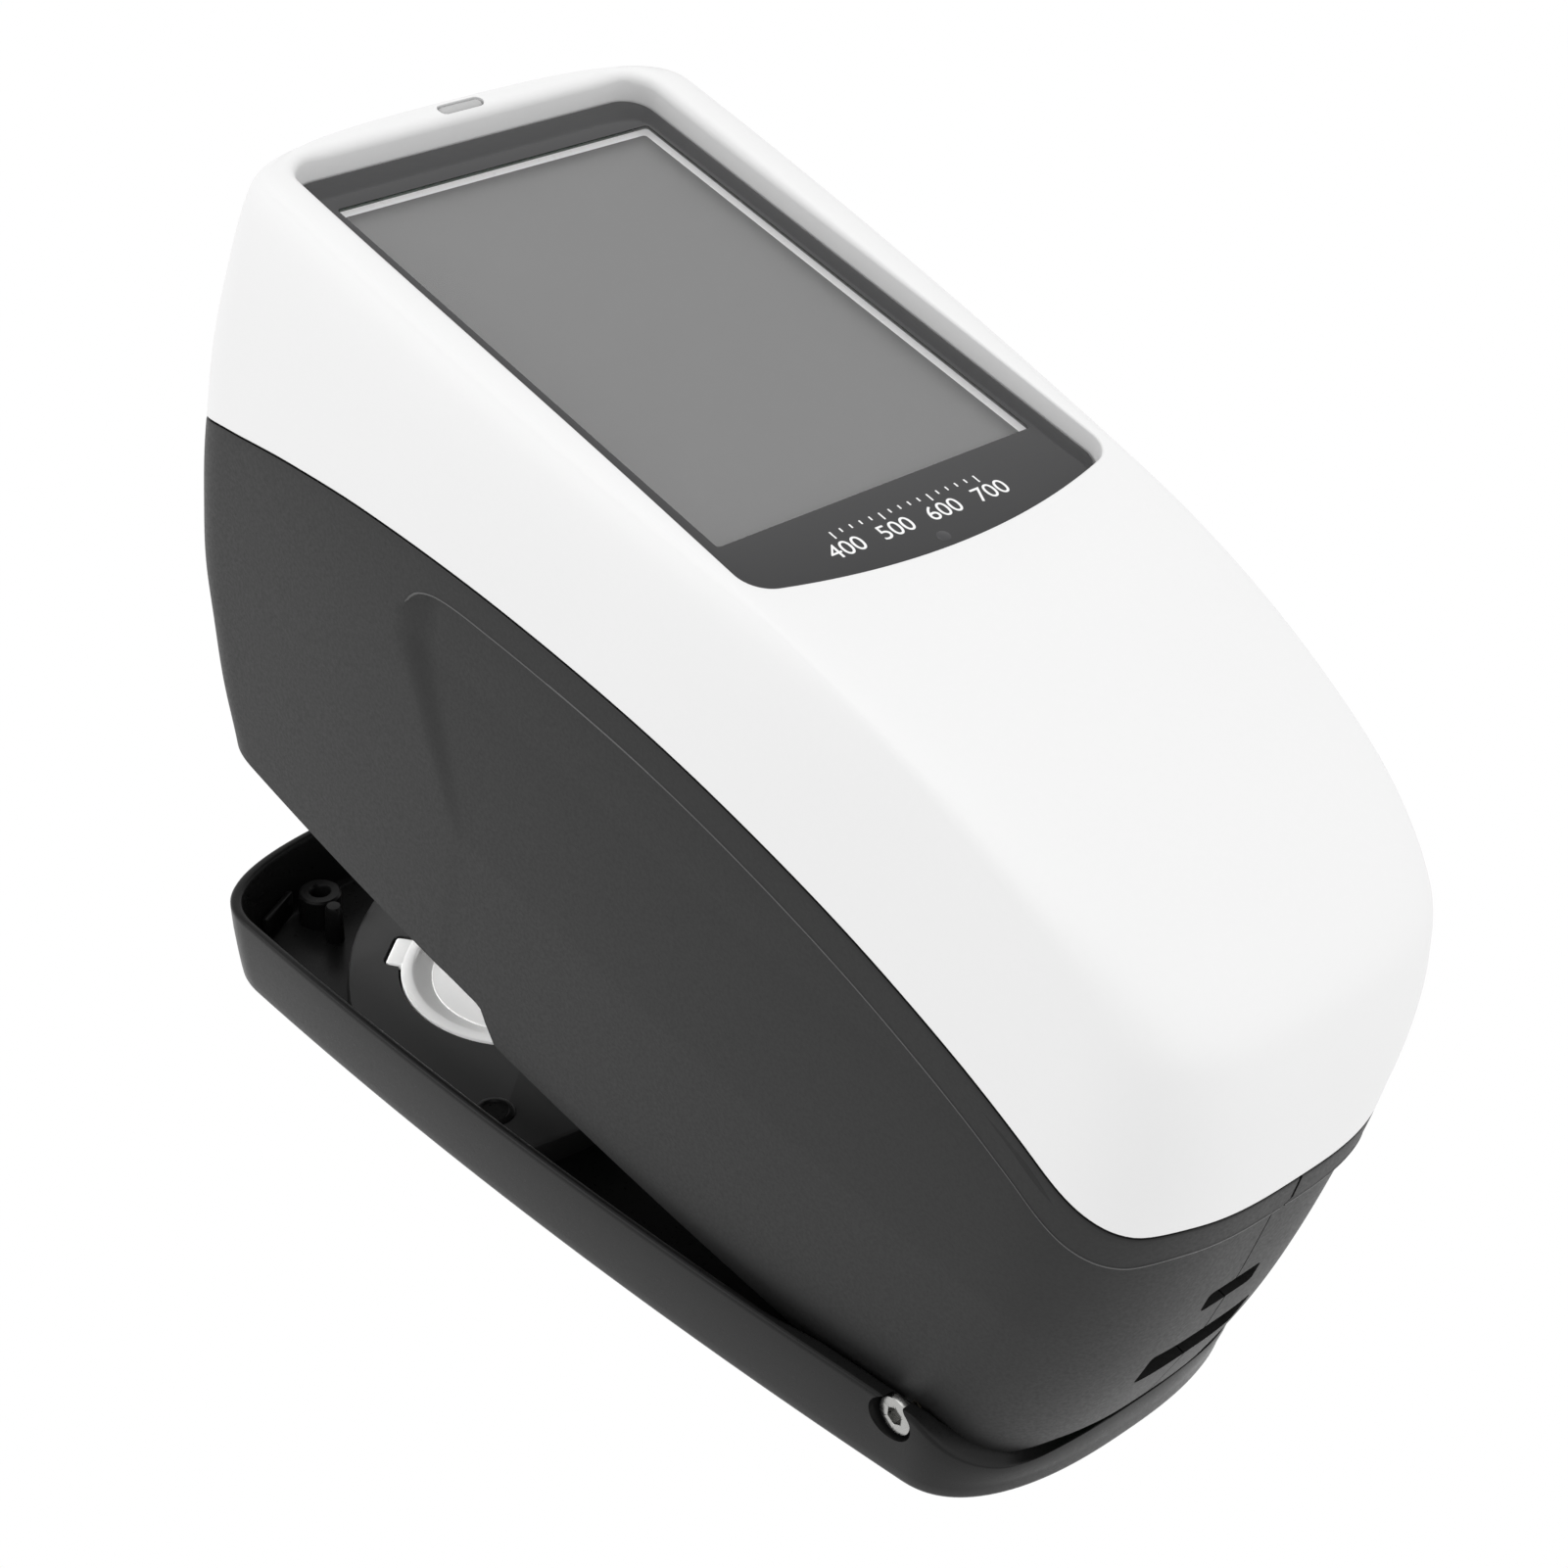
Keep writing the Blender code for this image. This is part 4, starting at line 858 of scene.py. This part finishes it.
class INSTRUMENT_OT_tray(bpy.types.Operator):
    """Model the tray with its rounded rim, raised middle and bosses"""
    bl_idname = "instrument.tray"
    bl_label = "Tray"

    def execute(self, context):
        # (inset, height at a full rim) in millimetres; inset None is the tray's middle
        profile = ((None, 1.8), (4.7, 1.8), (4.7, 0.2), (1.7, 0.2), (1.35, 0.3), (1.15, 0.55), (1.0, 1.0),
                   (0.8, 2.5), (0.55, 5.0), (0.22, 9.0), (0.04, 12.6), (0.04, 13.05), (0.14, 13.3),
                   (0.32, 13.46), (0.55, 13.5), (1.7, 13.5), (1.95, 13.46), (2.16, 13.3), (2.27, 13.05),
                   (2.3, 12.6), (2.3, 8.0), (2.3, 3.6), (2.4, 3.1), (2.7, 2.7), (3.3, 2.5), (8.0, 2.5),
                   (None, 2.5))
        # From this row on the wall's inner face leans out, away from the hinge, to a thinner rim
        inner = 15
        last = len(profile) - 1
        floor, full = TRAY_FLOOR / MM, RIM_HEIGHT / MM

        def put(w, v):
            u, side = mirrored(w)
            row = round(v * last)
            inset, z = profile[row]
            if inset is None:
                return Vector((0, 0, z * MM))
            if row >= inner and z > floor:
                y = tray_point(u)[1]
                inset -= step_up((y / MM - THIN_RIM[0]) / THIN_RIM[1]) * (z - floor) / (full - floor)
            x, y = tray_point(u, inset * MM)
            if z > floor:
                z = floor + (z - floor) * (smooth(LIP_LINE, y / MM) - floor) / (full - floor)
            return Vector((side * x, y, z * MM))

        piece = shaped_grid("tray", 280, last, put)
        outer = tray_half_width(PIVOT.y) / MM
        past = outer + 5
        for side in (-1, 1):
            # The recess for the screw's head, and the hole for its shank
            for radius, start in ((3.2, outer - 1.9), (1.8, outer - 8)):
                bore = ((0, start), (radius, start), (radius, past), (0, past))
                hole = lathe("hinge_hole", bore, (0, 0, 0), columns=48)
                along_hinge(hole, side)
                cut_away(piece, hole)
        join_pieces(piece, self.bosses())
        finish_piece(piece, "moulded_black_abs", "base", 40, ["base_tray"])
        # The raised middle gets a greyer copy of the tray's black: painted sheen
        finish_piece(self.plateau(), "black_abs_painted_sheen", "base", 40, ["base_tray"])
        return {"FINISHED"}

    def plateau(self):
        """The raised middle under the target, closed underneath so that the seat can be cut."""
        near_y, far_y, near_end, far_end = 4, 70.2, (6, 3), (40, 1.7)
        rows = ((None, 2.3), (0, 2.3), (0, 5.8), (0.15, 6.25), (0.6, 6.5), (None, 6.5))

        def put(w, v):
            u, side = mirrored(w)
            inset, z = rows[round(v * 5)]
            if inset is None:
                return Vector((0, TARGET.y, z * MM))
            x, y = plan_point(u, BASE_WIDTH / 2 - TRAY_WALL / 2, (near_y + inset) * MM,
                              (far_y - inset) * MM, near_end, far_end)
            return Vector((side * x, y, z * MM))

        piece = shaped_grid("tray_plateau", 160, 5, put)
        seat = (RING_RADIUS + SEAT_GAP) / MM
        low = RING_LOW / MM - 0.2
        cut_away(piece, lathe("seat_cutter", ((0, low), (seat, low), (seat, 20), (0, 20)), TARGET))
        cut_away(piece, block("lug_cutter", (5.4 * MM, 7.2 * MM, 4 * MM), lug_place(RING_LOW + 1.8 * MM),
                              turn=LUG_ANGLE, bevel=1.2 * MM, to_body=False))
        return piece

    def bosses(self):
        """The screw bosses, pegs, ribs and guide bosses on both sides, and the switch's striker."""
        made = []
        boss = ((0, 3.4), (1.4, 3.4), (1.4, 7.1), (1.7, 7.5), (2.9, 7.5), (3.2, 7.2), (3.35, 2.4), (0, 2.4))
        from_side = 17.3
        for y in (70.2, -33.5):
            x = tray_half_width(y * MM) / MM - from_side
            for side in (-1, 1):
                made.append(lathe("screw_boss", boss, (side * x * MM, y * MM, 0), columns=40))
        peg = ((0, 2.4), (1.5, 2.4), (1.3, 8.2), (1.0, 8.7), (0, 8.8))
        guide = ((0, 6.2), (2.9, 6.2), (2.85, 6.75), (2.6, 6.95), (2.1, 6.95), (1.9, 6.7), (0, 6.7))
        for side in (-1, 1):
            made.append(lathe("stop_peg", peg, (side * 22.5 * MM, 64.6 * MM, 0), columns=32))
            made.append(block("rib", (8 * MM, 0.9 * MM, 4.6 * MM), (side * 27.5 * MM, 72 * MM, 4.4 * MM),
                              turn=side * -0.5, to_body=False))
            made.append(lathe("guide_boss", guide, (side * 30.0 * MM, 14.6 * MM, 0), columns=48))
        striker = ((0, 2.3), (3, 2.3), (2.9, 6.9), (2.6, 7.2), (0, 7.3))
        made.append(lathe("striker", striker, (24.0 * MM, -12 * MM, 0), columns=32))
        return made


class INSTRUMENT_OT_target(bpy.types.Operator):
    """Model the white ring with its lug, and the reference tile inside it"""
    bl_idname = "instrument.target"
    bl_label = "Target"

    def execute(self, context):
        radius = TILE_RADIUS / MM
        hole = radius + 0.03
        outer = RING_RADIUS / MM
        # The flange round the outside, and the cone down to the tile
        profile = ((hole, 5.1), (hole, 5.3), (hole + 0.2, 5.4), (hole + 2.4, 6.45), (hole + 2.7, 6.62),
                   (hole + 3.0, 6.7), (outer - 0.5, 6.7), (outer - 0.15, 6.6), (outer, 6.3), (outer, 5.1),
                   (hole, 5.1))
        ring = lathe("target_ring_fine", profile, TARGET, columns=128)
        lug = block("ring_lug", (4.6 * MM, 6.4 * MM, 1.4 * MM), lug_place(5.92 * MM), turn=LUG_ANGLE,
                    bevel=0.6 * MM, to_body=False)
        join_pieces(ring, [lug])
        finish_piece(ring, "matt_white_polycarbonate", "base", 40, ["target_ring"])
        tile = lathe("reference_tile_fine", ((0, 5.1), (radius - 0.1, 5.1), (radius, 5.2), (radius, 5.42),
                                             (radius - 0.08, 5.5), (0, 5.5)), TARGET, columns=128)
        finish_piece(tile, "diffuse_white_ceramic", "base", 40, ["white_reference_tile"])
        return {"FINISHED"}


class INSTRUMENT_OT_hinge_screws(bpy.types.Operator):
    """Model the two hinge screws with rounded heads and hex sockets"""
    bl_idname = "instrument.hinge_screws"
    bl_label = "Hinge screws"

    def execute(self, context):
        head = (tray_half_width(PIVOT.y) - SCREW_HEAD_SINK) / MM
        top = head + 0.9
        end = head - 9.4
        # The socket's floor and its six sides, the rounded head, the shank
        profile = ((0, top - 1.6), (1.15, top - 1.6), (1.15, top - 0.06), (1.35, top), (2.2, top),
                   (2.6, top - 0.12), (2.75, top - 0.4), (2.75, head), (1.5, head), (1.5, end), (0, end))
        for side, hand in ((-1, "left"), (1, "right")):
            screw = lathe("hinge_screw_" + hand, profile, (0, 0, 0), columns=72, hexagon=(1, 2))
            along_hinge(screw, side)
            finish_piece(screw, "turned_stainless_steel", "base", 35, ["pivot_screw_" + hand])
        return {"FINISHED"}


class INSTRUMENT_OT_return_spring(bpy.types.Operator):
    """Wind the return spring with closed end turns"""
    bl_idname = "instrument.return_spring"
    bl_label = "Return spring"

    def execute(self, context):
        columns = 300
        # Share of the height by turns: the closed end turns climb little
        climb = ((0, 0), (SPRING_END_TURN, 0.04), (SPRING_TURNS - SPRING_END_TURN, 0.96), (SPRING_TURNS, 1))

        def put(u, v):
            column = round(u * columns)
            turns = SPRING_TURNS * min(1, max(0, (column - 1) / (columns - 2)))
            turn = tau * turns
            # The first and last columns close the wire's ends
            wire = SPRING_WIRE if 0 < column < columns else 0.0
            round_wire = tau * v
            reach = SPRING_RADIUS + wire * cos(round_wire)
            z = mix(SPRING_HEIGHTS, straight(climb, turns)) + wire * sin(round_wire)
            return Vector((reach * cos(turn), SPRING_Y + reach * sin(turn), z)) * MM

        piece = shaped_grid("return_coil", columns, 14, put)
        finish_piece(piece, "drawn_spring_wire", "base", 60, ["return_spring"])
        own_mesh(piece)
        return {"FINISHED"}


class INSTRUMENT_OT_inner_pieces(bpy.types.Operator):
    """Give every remaining node of the frame its finish"""
    bl_idname = "instrument.inner_pieces"
    bl_label = "Inner pieces"

    def execute(self, context):
        finishes = {
            "moulded_black_abs": ("bottom_plate", "aperture_ring", "lens_barrel", "measuring_switch"),
            "anti_slip_rubber": ("anti_slip_pad",),
            "turned_stainless_steel": ("data_socket", "plate_screw_1", "plate_screw_2", "plate_screw_3",
                                       "plate_screw_4"),
            "blackened_brass": ("pivot_bush_left", "pivot_bush_right"),
            "green_solder_mask": ("main_board", "lamp_board", "detector_board", "port_board"),
            "blue_shrink_wrap": ("battery_pack",),
            "diffuse_white_ceramic": ("integrating_sphere",),
            "blasted_aluminium": ("spectrometer_housing", "spectrometer_lid", "diffraction_grating"),
            "frosted_light_pipe": ("switch_plunger",),
        }
        for finish, names in finishes.items():
            for name in names:
                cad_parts[name].material_slots[0].material = bpy.data.materials[finish]
        return {"FINISHED"}


class INSTRUMENT_OT_finishes(bpy.types.Operator):
    """Make the finishes that the pieces share"""
    bl_idname = "instrument.finishes"
    bl_label = "Finishes"

    def execute(self, context):
        colours = context.scene.instrument_colours
        # ABS moulded in a finely etched tool: a soft satin sheen with hardly any grain
        moulded("satin_white_abs", colours.cover, 0.8, 0.008, (0.42, 0.48), 0.03, IOR=1.53,
                Specular_IOR_Level=0.36)
        # ABS from a spark-eroded tool: a matt charcoal with a fine leathery grain that catches the light.
        # The real grain is about 0.15 mm; it is drawn at 0.5 mm so that it shows.
        moulded("spark_eroded_charcoal_abs", colours.shell, 0.5, 0.1, (0.42, 0.56), 0.16, 0.05,
                IOR=1.53, Specular_IOR_Level=0.28)
        # The same ABS along the step's edge, smoother, and lighter in colour as a painted highlight
        moulded("charcoal_abs_painted_highlight", "3c3c3c", 0.5, 0.05, (0.36, 0.42), 0.0, IOR=1.53)
        # The same ABS, blacker, with a slightly smoother face
        moulded("moulded_black_abs", colours.tray, 0.6, 0.1, (0.26, 0.36), 0.08, 0.03,
                IOR=1.53, Specular_IOR_Level=0.13)
        # The same ABS on the tray's raised middle, left matt by the tool; its softer, greyer black is
        # painted sheen, standing in for the light that falls on the tray's middle
        moulded("black_abs_painted_sheen", "323232", 0.6, 0.08, (0.45, 0.55), 0.08, 0.03,
                IOR=1.53, Specular_IOR_Level=0.3)
        # Glass with a dark print on its back: deep and glossy, with a thin polished edge
        moulded("printed_border_glass", "2c2c2d", 20, 0.04, (0.08, 0.12), 0.0, IOR=1.5)
        clear_glass("float_glass")
        # A display without its backlight: a flat grey with the faint cloudiness of its layers
        moulded("unlit_display", colours.display, 2.5, 0.035, (0.3, 0.36), 0.0, IOR=1.5)
        # The white frame round the display's glass, made to glow faintly: painted light standing in for the
        # light that reaches it through the window
        moulded("display_frame_painted_glow", "ececec", 1.5, 0.02, (0.25, 0.35), 0.02,
                Emission_Color=(1, 1, 1, 1), Emission_Strength=0.34)
        # White ink printed on the glass: slightly raised and matt
        moulded("white_screen_print", "e9e9e9", 0.3, 0.03, (0.5, 0.6), 0.1)
        # A smoked window over the light sensor
        moulded("smoked_sensor_window", "343436", 3, 0.05, (0.1, 0.15), 0.0, IOR=1.5)
        # Polycarbonate with a diffuser in it, satin on its face
        moulded("frosted_light_pipe", "acacac", 0.5, 0.04, (0.35, 0.45), 0.05, IOR=1.58)
        # Polycarbonate moulded white and matt
        moulded("matt_white_polycarbonate", "f6f6f5", 0.6, 0.02, (0.45, 0.55), 0.05, IOR=1.58)
        # Ceramic ground flat, with no gloss at all, so that it scatters evenly
        moulded("diffuse_white_ceramic", "fafaf9", 0.3, 0.015, (0.6, 0.7), 0.06)
        # Stainless steel turned on a lathe: a bright grey with a fine unevenness in its shine
        moulded("turned_stainless_steel", "b0b0ae", 0.4, 0.06, (0.18, 0.34), 0.08, Metallic=1.0)
        # Spring wire drawn through a die: a dark grey shine
        moulded("drawn_spring_wire", "9a9b9d", 0.5, 0.08, (0.22, 0.38), 0.08, Metallic=1.0)
        # Brass turned on a lathe and chemically blackened
        moulded("blackened_brass", "4a453c", 0.4, 0.06, (0.35, 0.5), 0.08, Metallic=1.0)
        # Aluminium blasted with glass beads: an even grey with a fine sparkle
        moulded("blasted_aluminium", "b9babc", 0.3, 0.05, (0.4, 0.55), 0.15, Metallic=1.0)
        # Rubber calendered with a fine linen mark
        moulded("anti_slip_rubber", "262626", 0.5, 0.12, (0.75, 0.9), 0.3, 0.1)
        # Glass-fibre board under green solder mask
        moulded("green_solder_mask", "1f5c38", 0.8, 0.12, (0.3, 0.45), 0.1, 0.03)
        # Blue film shrunk over the cells
        moulded("blue_shrink_wrap", "2f4f8c", 4, 0.08, (0.25, 0.4), 0.1, 0.1)
        return {"FINISHED"}


class INSTRUMENT_OT_stage(bpy.types.Operator):
    """Set the white floor, which glows like a light table, the soft lights and the camera"""
    bl_idname = "instrument.stage"
    bl_label = "Stage"

    def execute(self, context):
        deselect()
        bpy.ops.mesh.primitive_plane_add(size=12)
        floor = context.object
        floor.name = "floor"
        moulded("pale_floor", "000000", 40, 0.0, (0.8, 0.9), 0.0,
                Specular_IOR_Level=0.0, Emission_Color=(1, 1, 1, 1), Emission_Strength=1.0)
        floor.data.materials.append(bpy.data.materials["pale_floor"])
        world = bpy.data.worlds.new("studio")
        context.scene.world = world
        world.use_nodes = True
        fill(world.node_tree.nodes["Background"], {"Color": (1, 1, 1, 1), "Strength": ROOM_LIGHT})
        for name, place, size, power in LAMPS:
            deselect()
            bpy.ops.object.light_add(type="AREA", location=place)
            lamp = context.object
            lamp.name = name
            lamp.data.size = size
            lamp.data.energy = power
            lamp.rotation_euler = (LAMP_AIM - Vector(place)).to_track_quat("-Z", "Y").to_euler()
        # A white card beside the gap lights the target and the middle of the tray alone
        lit = bpy.data.collections.new("lit_target")
        for name in ("target_ring_fine", "reference_tile_fine", "tray_plateau"):
            lit.objects.link(bpy.data.objects[name])
        bpy.data.objects["target_fill"].light_linking.receiver_collection = lit
        bpy.ops.object.camera_add()
        camera = context.object
        aim = Matrix((CAMERA_RIGHT, CAMERA_UP, [-value for value in CAMERA_AIM])).transposed().to_4x4()
        camera.matrix_world = Matrix.Translation(CAMERA_PLACE) @ aim
        camera.data.lens = CAMERA_LENS
        camera.data.sensor_width = 36
        camera.data.clip_start = 0.01
        context.scene.camera = camera
        context.scene.view_settings.view_transform = "Standard"
        return {"FINISHED"}


STEPS = (INSTRUMENT_OT_finishes, INSTRUMENT_OT_white_cover, INSTRUMENT_OT_side_shells, INSTRUMENT_OT_screen,
         INSTRUMENT_OT_status_light, INSTRUMENT_OT_tray, INSTRUMENT_OT_target, INSTRUMENT_OT_hinge_screws,
         INSTRUMENT_OT_return_spring, INSTRUMENT_OT_inner_pieces, INSTRUMENT_OT_stage)


class INSTRUMENT_PT_panel(bpy.types.Panel):
    """List the sizes, the colours and the steps"""
    bl_label = "Instrument"
    bl_idname = "INSTRUMENT_PT_panel"
    bl_space_type = "VIEW_3D"
    bl_region_type = "UI"
    bl_category = "Instrument"

    def draw(self, context):
        column = self.layout.column()
        for group in (context.scene.instrument_sizes, context.scene.instrument_colours):
            for key in group.__annotations__:
                column.prop(group, key)
        for step in STEPS:
            column.operator(step.bl_idname)


CLASSES = (InstrumentSizes, InstrumentColours) + STEPS + (INSTRUMENT_PT_panel,)


def register():
    for item in CLASSES:
        bpy.utils.register_class(item)
    bpy.types.Scene.instrument_sizes = PointerProperty(type=InstrumentSizes)
    bpy.types.Scene.instrument_colours = PointerProperty(type=InstrumentColours)


def unregister():
    del bpy.types.Scene.instrument_colours
    del bpy.types.Scene.instrument_sizes
    for item in reversed(CLASSES):
        bpy.utils.unregister_class(item)


def main():
    register()
    for step in (bpy.ops.instrument.finishes, bpy.ops.instrument.white_cover,
                 bpy.ops.instrument.side_shells, bpy.ops.instrument.screen, bpy.ops.instrument.status_light,
                 bpy.ops.instrument.tray, bpy.ops.instrument.target, bpy.ops.instrument.hinge_screws,
                 bpy.ops.instrument.return_spring, bpy.ops.instrument.inner_pieces,
                 bpy.ops.instrument.stage):
        step()


if __name__ == "__main__":
    main()
